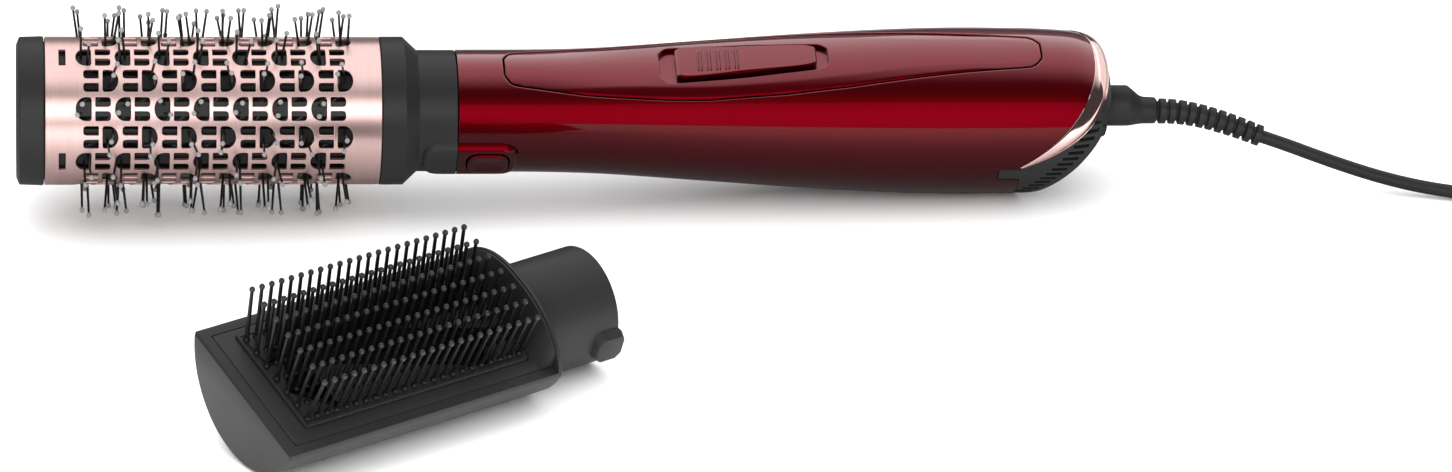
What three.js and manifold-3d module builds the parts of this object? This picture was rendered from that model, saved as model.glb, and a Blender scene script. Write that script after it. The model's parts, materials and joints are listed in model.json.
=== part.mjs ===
// Hot-air styling brush with a round brush head on its handle and a spare paddle brush head beside it.
// Millimetres, +Z up. The whole set lies on the plane Z = 0.
import * as THREE from 'three';
import { mergeVertices } from 'three/addons/utils/BufferGeometryUtils.js';
import Module from 'manifold-3d';

const wasm = await Module();
wasm.setup();

// ---------------------------------------------------------------- driving dimensions
const GAP = 0.3; // clearance between two pieces that touch
const ROUND = 32; // sides of a large turned piece
const SMALL_ROUND = 16; // sides of a small turned piece

// How the styler lies: its rear is lower than its front, and its switch panel is rolled to one side.
const TILT = THREE.MathUtils.degToRad(1.83);
const ROLL = THREE.MathUtils.degToRad(19.5);
const AXIS_HEIGHT = 34.35; // height of the styler's axis at its handle's front face

// The handle, from its front face (x = 0) to its rounded rear end: [x, outside radius].
const HANDLE_OUTLINE = [
  [0, 20.9], [32, 21.1], [50, 21.7], [83.5, 24], [117.5, 26.4], [151.5, 28.2], [172, 28.7], [190, 28.6],
  [203.5, 28.3], [215, 27.2], [220.8, 25], [224.2, 20.6], [226, 12], [226.3, 0],
];
const SHELL_WALL = 2.2;
const REAR_ROUNDING = 200; // where the handle starts to round towards its rear end
const LOWER_SHELL_END = 193;
const TRIM_FRONT = (up) => 192.3 + 1.36 * up - 0.0135 * up * up; // front edge of the trim ring
const TRIM_TOP = 27;
const TRIM_PROUD = 0.2;
const TRIM_DEPTH = 2;
const REAR_FACE = (up) => 213.3 + 0.73 * up; // the slanted grille face

// Two latch tabs of the rear cap, just under the seam between the shells.
const LATCH_ANGLE = THREE.MathUtils.degToRad(97.5);
const LATCH_START = 185.5;
const LATCH_WIDTH = 4.8;
const CAP_WALL = 2;
const CAP_INSET = 0.1; // how far the cap's outside lies under the handle's
const CORD_HOLE_RADIUS = 9.9;

// The leaf-shaped switch panel: [x, half width along the surface].
const PANEL_OUTLINE = [
  [16, 4], [18.2, 7.9], [43.7, 12], [71.6, 15], [85, 15.8], [111.7, 15.3], [132.4, 13.8], [153, 11.6],
  [172.6, 9.5], [197, 7.3], [200, 3.6],
];
const PANEL_MARGIN = 0.5; // the opening is this much larger, and the panel this much smaller
const PANEL_DEPTHS = [0.15, 2.6];
const RECESS_OUTLINE = [[70, 6], [71.5, 8.8], [98, 8], [124, 6], [126, 4.4]];
const RECESS_DEPTH = 1.6;
const SWITCH_OUTLINE = [[75, 6.9], [76.4, 7.6], [98, 6.6], [121.2, 4.8], [122.4, 3.9]];
const SWITCH_PROUD = 0.9;
const SWITCH_UNDERSIDE = 1.3;
const SWITCH_RIBS = 5;
const SWITCH_RIB_START = 82.6;
const SWITCH_RIB_PITCH = 3.1;
const SWITCH_RIB = { half: 0.6, reach: 5.6, proud: 1.5, root: 1.2 };
const STEM_X = 98; // where the switch's stem goes down through the panel
const STEM = { half: 3, thickness: 1.4, root: 1, foot: 6.2 };
const STEM_SLOT = { length: 14, width: 3.6, shift: -0.75 };

// The release button and the flat-topped bump around it.
const BUTTON_ANGLE = THREE.MathUtils.degToRad(102);
const BUMP_HALF_WIDTH = 6.5;
const BUMP_TOP = 21.9;
const BUMP_FOOT = 18.6;
const BUMP_START = 0.4;
const BUMP_END = 19.5;
const COLLAR_BUMP_START = -10.9;
const BUTTON_X = 10.5;
const BUTTON_LENGTH = 14;
const BUTTON_WIDTH = 10.4;
const BUTTON_FOOT = 19.4;
const BUTTON_TOP = 22.6;
const BUTTON_MARGIN = 0.4;
const BUTTON_WELL = 15; // the shells are open down to this radius under the button

// The round brush head.
const SLEEVE_START = -139.4;
const SLEEVE_END = -26.1;
const SLEEVE_RADIUS = 25.2;
const SLEEVE_WALL = 1.1;
const CORE_RADIUS = 17;
const PIN_ROOT_RADIUS = 19;
const PIN_TIP_RADIUS = 35.4;
const ROW_COUNT = 16;
const FIRST_ROW_ANGLE = THREE.MathUtils.degToRad(45.3);
const HOLES_PER_ROW = 7;
const HOLE_PITCH = 13.17;
const HOLE_WIDTH = 8;
const ROUND_HOLE_LENGTH = 5.2;
const WINDOW_LENGTH = 5.1;
const EVEN_ROUND_HOLE = -126.5; // middle of the first round hole of an even row
const EVEN_WINDOW = -120;
const ODD_ROUND_HOLE = -117.5;
const ODD_WINDOW = -124;
const END_SLOT_X = -133.6;

// The paddle head, in its own frame: x from its flat end to its neck, z out of the bristle face.
const PADDLE_LENGTH = 104;
const PADDLE_ARC_RADIUS = 30.5;
const PADDLE_ARC_CENTRE = 5.6; // height of the back's arc centre over the bristle face
const PADDLE_WALL = 2.5;
const PADDLE_RIM = 4;
const PADDLE_FACE_THICKNESS = 2.5;
const ARCH_HEIGHT = 15.1;
const NECK_RADIUS = 19.2;
const NECK_BORE = 17.9;
const NECK_AXIS = -6.4;
const NECK_END = 134;
const LUG = { length: 9.5, overhang: 1, half: 5.2, root: 1.2, proud: 2.6 };
const PAD_START = 11;
const PAD_END = 97;
const PAD_HALF_WIDTH = 21.8;
const PAD_CENTRE = 1.2; // how far the pad's middle lies towards +y
const PIN_ROW_INSET = 3.2; // from the pad's edge to its outermost row of pins
const PAD_RISE = 1;
const PIN_ROWS = 7;
const PINS_PER_ROW = 23;
const PADDLE_PIN_LENGTH = 19.3;
const PADDLE_PIN_SPLAY = THREE.MathUtils.degToRad(10);
const PADDLE_PLACE = new THREE.Vector3(-80, -193.2, 25.4);
const PADDLE_YAW = THREE.MathUtils.degToRad(30.6);
const PADDLE_ROLL = THREE.MathUtils.degToRad(21.4);

// The cord, from its strain relief to its plug.
const CORD_RADIUS = 2.3;
const CORD_SIDES = 8;
const RELIEF_START = [243.4, 0, 26.4];
const RELIEF_END = [280.2, -4.2, 17.4];
const RELIEF_RIBS = 11;
const CORD_ROUTE = [
  [280.6, -4.3, 17.3], [289.5, -6, 14.4], [299, -8.4, 11.3], [309.5, -11.4, 8.2], [321, -14.9, 5.4],
  [332, -18.5, 3.6], [343, -22.2, 2.7], [355.5, -26.1, 2.4], [370, -30.3, 2.6], [385, -34, 3.6], [396, -35.6, 3.7],
];
const COIL_CENTRE = [396.6, 1.1];
const COIL_INNER = 14.2;
const COIL_OUTER = 41;
const COIL_BOTTOM = 1.3;
const COIL_TOP = 10.9;
const TIE_HALF_WIDTH = 3;
const TIE_THICKNESS = 0.9;
const TIE_BOTTOM = 0.1;
const TAIL_ROUTE = [
  [408, -36, 8.4], [416, -32.6, 7.6], [424, -28.4, 6.4], [432, -23, 5.5], [439, -16.5, 5.2],
  [444.5, -9.2, 5.4], [447.6, -4.1, 5.7],
];
const PLUG_PLACE = new THREE.Vector3(447.9, -3.6, 5.9);
const PLUG_HEADING = THREE.MathUtils.degToRad(60);
const PLUG_LIFT = THREE.MathUtils.degToRad(-11);
const PLUG_FLATNESS = 0.73; // a plug's thickness over its width

// ---------------------------------------------------------------- materials
const paint = (colour, roughness, metalness = 0) =>
  new THREE.MeshStandardMaterial({ color: colour, roughness, metalness });
const redLacquer = paint(0x8a0018, 0.18);
const roseGold = paint(0xe8bcb4, 0.3, 1);
const blackPlastic = paint(0x2c2d2d, 0.5);
const greyPlastic = paint(0x4a4d4c, 0.5);
const pinPlastic = paint(0x1b1b1b, 0.45);
const cordRubber = paint(0x2e2e30, 0.55);
const steel = paint(0xb8bcc0, 0.35, 1);
const mica = paint(0xc9bfa4, 0.7);
const board = paint(0x1e5a34, 0.6);

// ---------------------------------------------------------------- solids and booleans
function solidOf(geometry) {
  const bare = geometry.clone();
  bare.deleteAttribute('normal');
  bare.deleteAttribute('uv');
  const merged = mergeVertices(bare, 1e-4);
  const corners = merged.index.array;
  const kept = [];
  for (let i = 0; i < corners.length; i += 3) {
    const [a, b, c] = [corners[i], corners[i + 1], corners[i + 2]];
    if (a !== b && b !== c && c !== a) kept.push(a, b, c);
  }
  const mesh = new wasm.Mesh({
    numProp: 3,
    vertProperties: Float32Array.from(merged.attributes.position.array),
    triVerts: Uint32Array.from(kept),
  });
  return new wasm.Manifold(mesh);
}

function geometryOf(solid) {
  const mesh = solid.getMesh();
  const indexed = new THREE.BufferGeometry();
  indexed.setAttribute('position', new THREE.Float32BufferAttribute(mesh.vertProperties, 3));
  indexed.setIndex(Array.from(mesh.triVerts));
  const flat = indexed.toNonIndexed();
  flat.computeVertexNormals();
  return flat;
}

const join = (...solids) => solids.reduce((whole, piece) => whole.add(piece));
const cut = (solid, ...tools) => tools.reduce((rest, tool) => rest.subtract(tool), solid);

function piece(name, solid, material) {
  const mesh = new THREE.Mesh(geometryOf(solid), material);
  mesh.name = name;
  return mesh;
}

const ALONG_X = new THREE.Matrix4().makeBasis(
  new THREE.Vector3(0, 1, 0), new THREE.Vector3(0, 0, 1), new THREE.Vector3(1, 0, 0));
const ACROSS = new THREE.Matrix4().makeBasis(
  new THREE.Vector3(1, 0, 0), new THREE.Vector3(0, 0, 1), new THREE.Vector3(0, -1, 0));
const DEEP = 100; // more than any piece is wide
const INSIDE = 8; // a radius inside every wall of the handle
const OUTSIDE = 40; // a radius outside every wall of the handle

const shapeOf = (points) => new THREE.Shape(points.map(([x, y]) => new THREE.Vector2(x, y)));

function extrusion(shape, depth, sides = 4) {
  return new THREE.ExtrudeGeometry(shape, { depth, bevelEnabled: false, curveSegments: sides });
}

// A solid turned about the x axis from [x, radius] points, going from low x to high x on its outside.
function turned(profile, sides = ROUND) {
  const points = profile.map(([x, radius]) => new THREE.Vector2(radius, x));
  return solidOf(new THREE.LatheGeometry(points, sides).rotateZ(-Math.PI / 2));
}

const tube = (start, end, outer, inner, sides = ROUND) =>
  turned([[start, inner], [start, outer], [end, outer], [end, inner], [start, inner]], sides);
const rod = (start, end, radius, sides = SMALL_ROUND) =>
  turned([[start, 0], [start, radius], [end, radius], [end, 0]], sides);

function box(low, high) {
  const [x, y, z] = [0, 1, 2].map((axis) => high[axis] - low[axis]);
  return solidOf(new THREE.BoxGeometry(x, y, z).translate(low[0] + x / 2, low[1] + y / 2, low[2] + z / 2));
}

// An outline in (y, z), drawn out along x.
function alongX(shape, start, end, sides = 12) {
  return solidOf(extrusion(shape, end - start, sides).applyMatrix4(ALONG_X).translate(start, 0, 0));
}

// A side-view outline in (x, z), drawn out across the whole width.
function across(points) {
  return solidOf(extrusion(shapeOf(points), 2 * DEEP).translate(0, 0, -DEEP).applyMatrix4(ACROSS));
}

// An outline in (x, tangent), drawn out along the radius at an angle around the x axis.
function radial(shape, angle, inner, outer, sides = 4) {
  return solidOf(extrusion(shape, outer - inner, sides).translate(0, 0, inner).rotateX(angle));
}

// The same, through the handle's whole wall.
const through = (shape, angle = 0, sides = 4) => radial(shape, angle, INSIDE, OUTSIDE, sides);

function pill(centre, length, width) {
  const radius = width / 2;
  const reach = length / 2 - radius;
  const shape = new THREE.Shape();
  shape.absarc(centre + reach, 0, radius, -Math.PI / 2, Math.PI / 2, false);
  shape.absarc(centre - reach, 0, radius, Math.PI / 2, 1.5 * Math.PI, false);
  return shape;
}

function rectangle(centre, length, width) {
  const [low, high, side] = [centre - length / 2, centre + length / 2, width / 2];
  return shapeOf([[low, -side], [high, -side], [high, side], [low, side]]);
}

// A symmetric leaf outline on the handle from [x, half width along the surface] points, with a margin.
function leaf(outline, margin = 0) {
  const middle = (outline[0][0] + outline[outline.length - 1][0]) / 2;
  const chord = (x, along) => handleRadius(x) * Math.sin(along / handleRadius(x));
  const right = outline.map(([x, half]) => [x + Math.sign(x - middle) * margin, chord(x, half + margin)]);
  const left = [...right].reverse().map(([x, half]) => [x, -half]);
  return shapeOf([...right, ...left].reverse());
}

// ---------------------------------------------------------------- the handle's outside
const handleRadius = (x) => {
  const next = HANDLE_OUTLINE.findIndex(([end]) => end > x);
  const [[x0, r0], [x1, r1]] = [HANDLE_OUTLINE[next - 1], HANDLE_OUTLINE[next]];
  return r0 + ((r1 - r0) * (x - x0)) / (x1 - x0);
};

// The whole handle as one solid, moved in or out by an inset; its front is open-ended for cutting.
function handleSolid(inset, front = 0) {
  const outline = HANDLE_OUTLINE.map(([x, radius]) => [
    x > REAR_ROUNDING ? x - inset : x, radius > inset && radius > 0 ? radius - inset : 0,
  ]);
  const [, ...rest] = outline;
  return turned([[front, 0], [front, outline[0][1]], ...rest]);
}

// The layer of the handle between two depths under its outside.
const handleLayer = (shallow, deep) => cut(handleSolid(shallow), handleSolid(deep, -1));

const trimEdge = (offset) => {
  const heights = [-3, 0, 9, 18, TRIM_TOP, TRIM_TOP + 4];
  return heights.map((up) => [TRIM_FRONT(Math.max(up, 0)) + offset, up]);
};
const trimRear = () => [[LOWER_SHELL_END, -3], [LOWER_SHELL_END + 1, 0], [205.5, 6], [215.5, 13], [221.5, 19],
  [228, 24], [234, TRIM_TOP + 4]];

const everythingBefore = (edge) => across([[-DEEP, edge[0][1]], ...edge, [-DEEP, edge[edge.length - 1][1]]]);

function bump(start, end, margin = 0, foot = BUMP_FOOT) {
  const shape = rectangle((start + end) / 2, end - start + 2 * margin, 2 * (BUMP_HALF_WIDTH + margin));
  return radial(shape, BUTTON_ANGLE, foot, BUMP_TOP + margin);
}

function latch(side, margin = 0) {
  const [low, high] = [LATCH_START - margin, LOWER_SHELL_END + 1];
  const shape = rectangle((low + high) / 2, high - low, LATCH_WIDTH + 2 * margin);
  return through(shape, side * LATCH_ANGLE);
}

// ---------------------------------------------------------------- handle pieces
function upperShell() {
  const shell = handleLayer(0, SHELL_WALL).intersect(everythingBefore(trimEdge(-GAP)));
  const upperHalf = box([-1, -DEEP, GAP / 2], [DEEP * 3, DEEP, DEEP]);
  const panelOpening = through(leaf(PANEL_OUTLINE, PANEL_MARGIN));
  return cut(shell.intersect(upperHalf), panelOpening, bump(-GAP, BUMP_END, GAP, BUTTON_WELL));
}

function lowerShell() {
  const lowerHalf = box([-1, -DEEP, -DEEP], [LOWER_SHELL_END - GAP, DEEP, -GAP / 2]);
  const shell = handleLayer(0, SHELL_WALL).intersect(lowerHalf);
  const hole = pill(BUTTON_X, BUTTON_LENGTH + 2 * BUTTON_MARGIN, BUTTON_WIDTH + 2 * BUTTON_MARGIN);
  const buttonHole = radial(hole, BUTTON_ANGLE, BUTTON_WELL, OUTSIDE, 6);
  return cut(join(shell, bump(BUMP_START, BUMP_END)), buttonHole, latch(-1, GAP), latch(1, GAP));
}

function switchPanel() {
  const insert = handleLayer(...PANEL_DEPTHS).intersect(through(leaf(PANEL_OUTLINE, -PANEL_MARGIN)));
  const recess = handleLayer(-1, RECESS_DEPTH).intersect(through(leaf(RECESS_OUTLINE)));
  const stemSlot = through(rectangle(STEM_X + STEM_SLOT.shift, STEM_SLOT.length, STEM_SLOT.width));
  return cut(insert, recess, stemSlot);
}

function slideSwitch() {
  const cap = handleLayer(-SWITCH_PROUD, SWITCH_UNDERSIDE).intersect(through(leaf(SWITCH_OUTLINE)));
  const surface = handleRadius(STEM_X);
  const stem = box([STEM_X - STEM.half, -STEM.thickness, surface - STEM.foot],
    [STEM_X + STEM.half, STEM.thickness, surface - STEM.root]);
  const ribs = [];
  for (let i = 0; i < SWITCH_RIBS; i += 1) {
    const x = SWITCH_RIB_START + i * SWITCH_RIB_PITCH;
    const top = handleRadius(x);
    const { half, reach, proud, root } = SWITCH_RIB;
    ribs.push(box([x - half, -reach, top - root], [x + half, reach, top + proud]));
  }
  return join(cap, stem, ...ribs);
}

function trimRing() {
  const band = cut(handleLayer(-TRIM_PROUD, TRIM_DEPTH), everythingBefore(trimEdge(0)));
  const upperHalf = box([-1, -DEEP, GAP / 2], [DEEP * 3, DEEP, DEEP]);
  return band.intersect(everythingBefore(trimRear())).intersect(upperHalf);
}

function rearCap() {
  const rearFace = (offset) => [[REAR_FACE(-40) - offset, -40], [REAR_FACE(40) - offset, 40]];
  const outside = handleSolid(CAP_INSET).intersect(everythingBefore(rearFace(0)));
  const inside = handleSolid(CAP_INSET + CAP_WALL, -1).intersect(everythingBefore(rearFace(1.25 * CAP_WALL)));
  const shell = cut(outside, inside);
  const tabs = join(latch(-1), latch(1)).intersect(shell);
  const upperFront = everythingBefore(trimRear().map(([x, up]) => [x + GAP, up]));
  const lowerFront = box([-DEEP, -DEEP, -DEEP], [LOWER_SHELL_END + GAP, DEEP, 0]);
  const cordHole = rod(180, 240, CORD_HOLE_RADIUS, ROUND);
  return cut(join(cut(shell, upperFront, lowerFront), tabs), cordHole, ...grilleSlots());
}

function grilleSlots() {
  const slots = [];
  const pitch = 4.2;
  for (let up = -21; up < 22; up += pitch) {
    const reach = Math.sqrt(Math.max(24 * 24 - up * up, 0)) - 2;
    const inner = Math.abs(up) < 12.5 ? Math.sqrt(13.5 * 13.5 - up * up) : 1.2;
    for (const side of [-1, 1]) {
      const [low, high] = [side * inner, side * reach].sort((a, b) => a - b);
      slots.push(box([REAR_FACE(up) - 7, low, up - 0.9], [REAR_FACE(up) + 7, high, up + 0.9]));
    }
  }
  return slots;
}

// A thin plate behind the grille, parallel to it.
function dustFilter() {
  const [low, high] = [-19, 16];
  const [behind, thickness] = [3.6, 1];
  const sheet = across([[REAR_FACE(low) - behind - thickness, low], [REAR_FACE(low) - behind, low],
    [REAR_FACE(high) - behind, high], [REAR_FACE(high) - behind - thickness, high]]);
  return cut(handleSolid(2.8, 150).intersect(sheet), rod(150, 240, 10.4, 20));
}

function releaseButton() {
  return radial(pill(BUTTON_X, BUTTON_LENGTH, BUTTON_WIDTH), BUTTON_ANGLE, BUTTON_FOOT, BUTTON_TOP, 6);
}

function nozzleTube() {
  return turned([[-14.2, 15.6], [-14.2, 17.3], [19.8, 17.3], [19.8, 17.8], [22, 17.8], [22, 15.6],
    [-14.2, 15.6]], 24);
}

function heaterFrame() {
  const upright = box([26, -0.5, -12.6], [76, 0.5, 12.6]);
  const level = box([26, -12.6, -0.5], [76, 12.6, 0.5]);
  return join(upright, level);
}

function heaterCoil() {
  const turns = 4;
  const radius = 14.6;
  const curve = new THREE.Curve();
  curve.getPoint = (t) => {
    const angle = t * turns * 2 * Math.PI;
    return new THREE.Vector3(32 + t * 38, radius * Math.cos(angle), radius * Math.sin(angle));
  };
  const section = shapeOf([[-0.7, -0.7], [0.7, -0.7], [0.7, 0.7], [-0.7, 0.7]]);
  return solidOf(new THREE.ExtrudeGeometry(section, { steps: turns * 10, extrudePath: curve }));
}

function motorMount() {
  const plate = tube(138, 142, 24.6, 13.8, 24);
  const airGaps = [0, 1, 2, 3].map((i) => radial(rectangle(140, 6, 14), (i * Math.PI) / 2, 17, 22));
  return cut(plate, ...airGaps);
}

function fanRotor() {
  const hub = rod(165, 173, 7);
  const shaft = rod(126, 166, 1, 8);
  const blades = [];
  const count = 7;
  for (let i = 0; i < count; i += 1) {
    const blade = new THREE.BoxGeometry(6, 1.2, 14).rotateZ(0.6).translate(169, 0, 13);
    blades.push(solidOf(blade.rotateX((i * 2 * Math.PI) / count)));
  }
  return join(hub, shaft, ...blades);
}

function motorBody() {
  return turned([[128, 1.6], [128, 5], [130, 5], [130, 13.4], [158, 13.4], [158, 5], [160.5, 5], [160.5, 1.6],
    [128, 1.6]], 20);
}

function switchBlock() {
  const top = handleRadius(STEM_X) - STEM.foot - 2 * GAP;
  return box([STEM_X - 8, -6, top - 7], [STEM_X + 8, 6, top]);
}

// ---------------------------------------------------------------- brush head pieces
function endCap() {
  return turned([[-148.9, 0], [-148.9, 19], [-147.9, 24], [-146.7, 25.25], [-139.7, 25.25], [-139.7, 23.2],
    [-135.6, 23.2], [-135.6, 21], [-146, 21], [-146, 0]]);
}

function rowCutters(row) {
  const angle = FIRST_ROW_ANGLE + (row * 2 * Math.PI) / ROW_COUNT;
  const even = row % 2 === 0;
  const cutters = [];
  for (let i = 0; i < HOLES_PER_ROW; i += 1) {
    const step = i * HOLE_PITCH;
    const hole = rectangle((even ? EVEN_ROUND_HOLE : ODD_ROUND_HOLE) + step, ROUND_HOLE_LENGTH, HOLE_WIDTH);
    const window = rectangle((even ? EVEN_WINDOW : ODD_WINDOW) + step, WINDOW_LENGTH, HOLE_WIDTH);
    cutters.push(radial(hole, angle, 20, 30), radial(window, angle, 20, 30));
  }
  if (row % 4 === 2) cutters.push(radial(rectangle(END_SLOT_X, 2.3, 4.8), angle, 20, 30));
  return cutters;
}

function barrelSleeve() {
  const halfSide = Math.PI / ROW_COUNT;
  let sleeve = tube(SLEEVE_START, SLEEVE_END, SLEEVE_RADIUS, SLEEVE_RADIUS - SLEEVE_WALL, ROW_COUNT);
  sleeve = sleeve.rotate([THREE.MathUtils.radToDeg(FIRST_ROW_ANGLE + halfSide), 0, 0]);
  for (let row = 0; row < ROW_COUNT; row += 1) sleeve = cut(sleeve, ...rowCutters(row));
  return sleeve;
}

function headCollar() {
  const ring = turned([[-29, 21], [-29, 23.2], [-25.8, 23.2], [-25.8, 25.15], [-17.9, 25.15], [-13.1, 20.6],
    [-GAP, 20.6], [-GAP, 17.9], [-16, 17.9], [-20, 21], [-29, 21]]);
  return join(ring, bump(COLLAR_BUMP_START, -GAP));
}

function bristleCore() {
  return turned([[-133.5, 15.4], [-133.5, 20.5], [-131.9, 20.5], [-131.9, CORE_RADIUS], [-31, CORE_RADIUS],
    [-31, 20.5], [-29.4, 20.5], [-29.4, 15.4], [-133.5, 15.4]], 24);
}

function bristleStrip(row) {
  const bar = box([-131.5, -1.9, CORE_RADIUS + 0.35], [-31.4, 1.9, 20.4]);
  const firstPin = row % 2 === 0 ? EVEN_ROUND_HOLE : ODD_ROUND_HOLE;
  const pins = [];
  for (let i = 0; i < HOLES_PER_ROW; i += 1) {
    for (const side of [-1, 1]) {
      const pin = new THREE.CylinderGeometry(0.7, 0.7, PIN_TIP_RADIUS - PIN_ROOT_RADIUS, 3);
      pin.rotateX(Math.PI / 2).translate(0, 0, (PIN_TIP_RADIUS + PIN_ROOT_RADIUS) / 2);
      pins.push(solidOf(pin.translate(firstPin + i * HOLE_PITCH, side * 1.1, 0)));
    }
  }
  const angle = FIRST_ROW_ANGLE + (row * 2 * Math.PI) / ROW_COUNT;
  return join(bar, ...pins).rotate([THREE.MathUtils.radToDeg(angle), 0, 0]);
}

// ---------------------------------------------------------------- paddle head pieces
function paddleSection(radius, top) {
  const shape = new THREE.Shape();
  const edge = Math.asin((PADDLE_ARC_CENTRE - top) / radius);
  shape.absarc(0, PADDLE_ARC_CENTRE, radius, Math.PI + edge, 2 * Math.PI - edge, false);
  return shape;
}

// The arched end of the paddle: a flat-bottomed arch as wide as the bristle face.
function archSection(margin = 0) {
  const half = Math.sqrt(PADDLE_ARC_RADIUS ** 2 - PADDLE_ARC_CENTRE ** 2) - 0.6 - margin;
  const height = ARCH_HEIGHT - margin;
  const shape = new THREE.Shape();
  shape.moveTo(-half, -6);
  shape.lineTo(half, -6);
  shape.lineTo(half, 0);
  shape.quadraticCurveTo(half - 5, height * 0.62, half - 14, height * 0.86);
  shape.quadraticCurveTo(0, height * 1.17, 14 - half, height * 0.86);
  shape.quadraticCurveTo(5 - half, height * 0.62, -half, 0);
  return shape;
}

const neckRod = (start, end, radius) => rod(start, end, radius, ROUND).translate([0, 0, NECK_AXIS]);

function paddleBack() {
  const wallStart = PADDLE_LENGTH - PADDLE_WALL;
  const insideEnd = wallStart - GAP;
  const outside = alongX(paddleSection(PADDLE_ARC_RADIUS, 0), 0, PADDLE_LENGTH, 20);
  const inside = alongX(paddleSection(PADDLE_ARC_RADIUS - PADDLE_WALL, 10), PADDLE_WALL, insideEnd, 16);
  const halfOpening = PADDLE_ARC_RADIUS - 0.5 - PADDLE_RIM;
  const opening = inside.intersect(box([PADDLE_RIM, -halfOpening, -DEEP], [insideEnd, halfOpening, DEEP]));
  const arch = alongX(archSection(), wallStart, PADDLE_LENGTH, 5);
  const airway = neckRod(wallStart - 1, NECK_END, NECK_BORE - 1.5);
  return cut(join(outside, arch), opening, airway);
}

function paddleNeck() {
  const bore = neckRod(PADDLE_LENGTH - 1, NECK_END + 1, NECK_BORE);
  const ring = cut(neckRod(PADDLE_LENGTH + GAP, NECK_END, NECK_RADIUS), bore);
  const [back, front] = [NECK_END - LUG.length, NECK_END + LUG.overhang];
  const outline = shapeOf([[back, -LUG.half / 2], [back + 2.5, -LUG.half], [front - 2, -LUG.half],
    [front, -LUG.half / 2], [front, LUG.half / 2], [front - 2, LUG.half], [back + 2.5, LUG.half],
    [back, LUG.half / 2]]);
  const lug = radial(outline, Math.PI / 2, NECK_RADIUS - LUG.root, NECK_RADIUS + LUG.proud);
  return join(ring, lug.translate([0, 0, NECK_AXIS]));
}

function paddleFace() {
  const end = PADDLE_LENGTH - PADDLE_WALL - 2 * GAP;
  const half = PADDLE_ARC_RADIUS - 0.5 - PADDLE_RIM - GAP;
  const plate = box([PADDLE_RIM + GAP, -half, -PADDLE_FACE_THICKNESS], [end, half, 0]);
  const shelter = across([[PAD_END + 0.6, -1], [end, -1], [end, ARCH_HEIGHT + 1], [end - 0.9, ARCH_HEIGHT],
    [end - 2, 8], [end - 3, 4]]);
  const ramp = alongX(archSection(0.4), PAD_END, end, 5).intersect(shelter).intersect(
    box([0, -half, -1], [end, half, DEEP]));
  const padOpening = box([PAD_START, PAD_CENTRE - PAD_HALF_WIDTH, -DEEP],
    [PAD_END, PAD_CENTRE + PAD_HALF_WIDTH, DEEP]);
  return cut(join(plate, ramp), padOpening);
}

function paddlePad() {
  const half = PAD_HALF_WIDTH - GAP;
  return box([PAD_START + GAP, PAD_CENTRE - half, -6], [PAD_END - GAP, PAD_CENTRE + half, PAD_RISE]);
}

function paddlePinRow(row) {
  const middle = (PIN_ROWS - 1) / 2;
  const spread = (row - middle) / middle;
  const rootY = PAD_CENTRE + spread * (PAD_HALF_WIDTH - PIN_ROW_INSET);
  const railBottom = PAD_RISE + GAP;
  const railTop = railBottom + 0.8;
  const rail = box([PAD_START + 1.5, rootY - 0.8, railBottom], [PAD_END - 1.5, rootY + 0.8, railTop]);
  const pitch = (PAD_END - PAD_START - 5) / (PINS_PER_ROW - 1);
  const pins = [];
  for (let i = 0; i < PINS_PER_ROW; i += 1) {
    const pin = new THREE.CylinderGeometry(0.6, 0.6, PADDLE_PIN_LENGTH, 3).rotateX(Math.PI / 2);
    pin.translate(0, 0, PADDLE_PIN_LENGTH / 2 - 0.6).rotateX(-spread * PADDLE_PIN_SPLAY);
    pins.push(solidOf(pin.translate(PAD_START + 2.5 + i * pitch, rootY, railTop)));
  }
  return cut(join(rail, ...pins), box([-DEEP, -DEEP, -DEEP], [2 * DEEP, DEEP, railBottom]));
}

// ---------------------------------------------------------------- cord set pieces
const vector = ([x, y, z]) => new THREE.Vector3(x, y, z);
const circle = (radius) => {
  const shape = new THREE.Shape();
  shape.absarc(0, 0, radius, 0, 2 * Math.PI, false);
  return shape;
};

function cordTube(route, radius, step) {
  const curve = new THREE.CatmullRomCurve3(route.map(vector), false, 'centripetal');
  const steps = Math.round(curve.getLength() / step);
  return solidOf(new THREE.ExtrudeGeometry(circle(radius), {
    steps, curveSegments: CORD_SIDES, bevelEnabled: false, extrudePath: curve,
  }));
}

function coilRing(margin = 0) {
  const [inner, outer] = [COIL_INNER - margin, COIL_OUTER + margin];
  const [low, high] = [COIL_BOTTOM - margin, COIL_TOP + margin];
  const profile = [[inner, low], [outer, low], [outer, high], [inner, high], [inner, low]];
  const ring = new THREE.LatheGeometry(profile.map(([r, y]) => new THREE.Vector2(r, y)), ROUND);
  return solidOf(ring.rotateX(Math.PI / 2).translate(COIL_CENTRE[0], COIL_CENTRE[1], 0));
}

function cordTie() {
  const wall = TIE_THICKNESS;
  const [x, y] = COIL_CENTRE;
  const [near, far, top] = [x - COIL_INNER + 2 * GAP, x - COIL_OUTER - GAP, COIL_TOP + GAP];
  const [low, high] = [y - TIE_HALF_WIDTH, y + TIE_HALF_WIDTH];
  const outside = box([far - wall, low, TIE_BOTTOM], [near + wall, high, top + wall]);
  const inside = box([far, low - 1, TIE_BOTTOM + wall], [near, high + 1, top]);
  return cut(outside, inside);
}

function plug() {
  const grip = turned([[0.2, 0], [0.2, 3.8], [10, 4.4], [22, 8], [30, 13.5], [36, 17.5], [44, 17.75],
    [44, 0]], 24);
  const pins = [-9.5, 9.5].map((side) => rod(43, 63, 2.4, 10).translate([0, side, 0]));
  return join(grip.scale([1, 1, PLUG_FLATNESS]), ...pins);
}

function cordBoot() {
  return turned([[225.7, 0], [225.7, 7], [233.4, 7], [237.4, 4.6], [242.7, 4.6], [242.7, 0]]);
}

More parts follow.
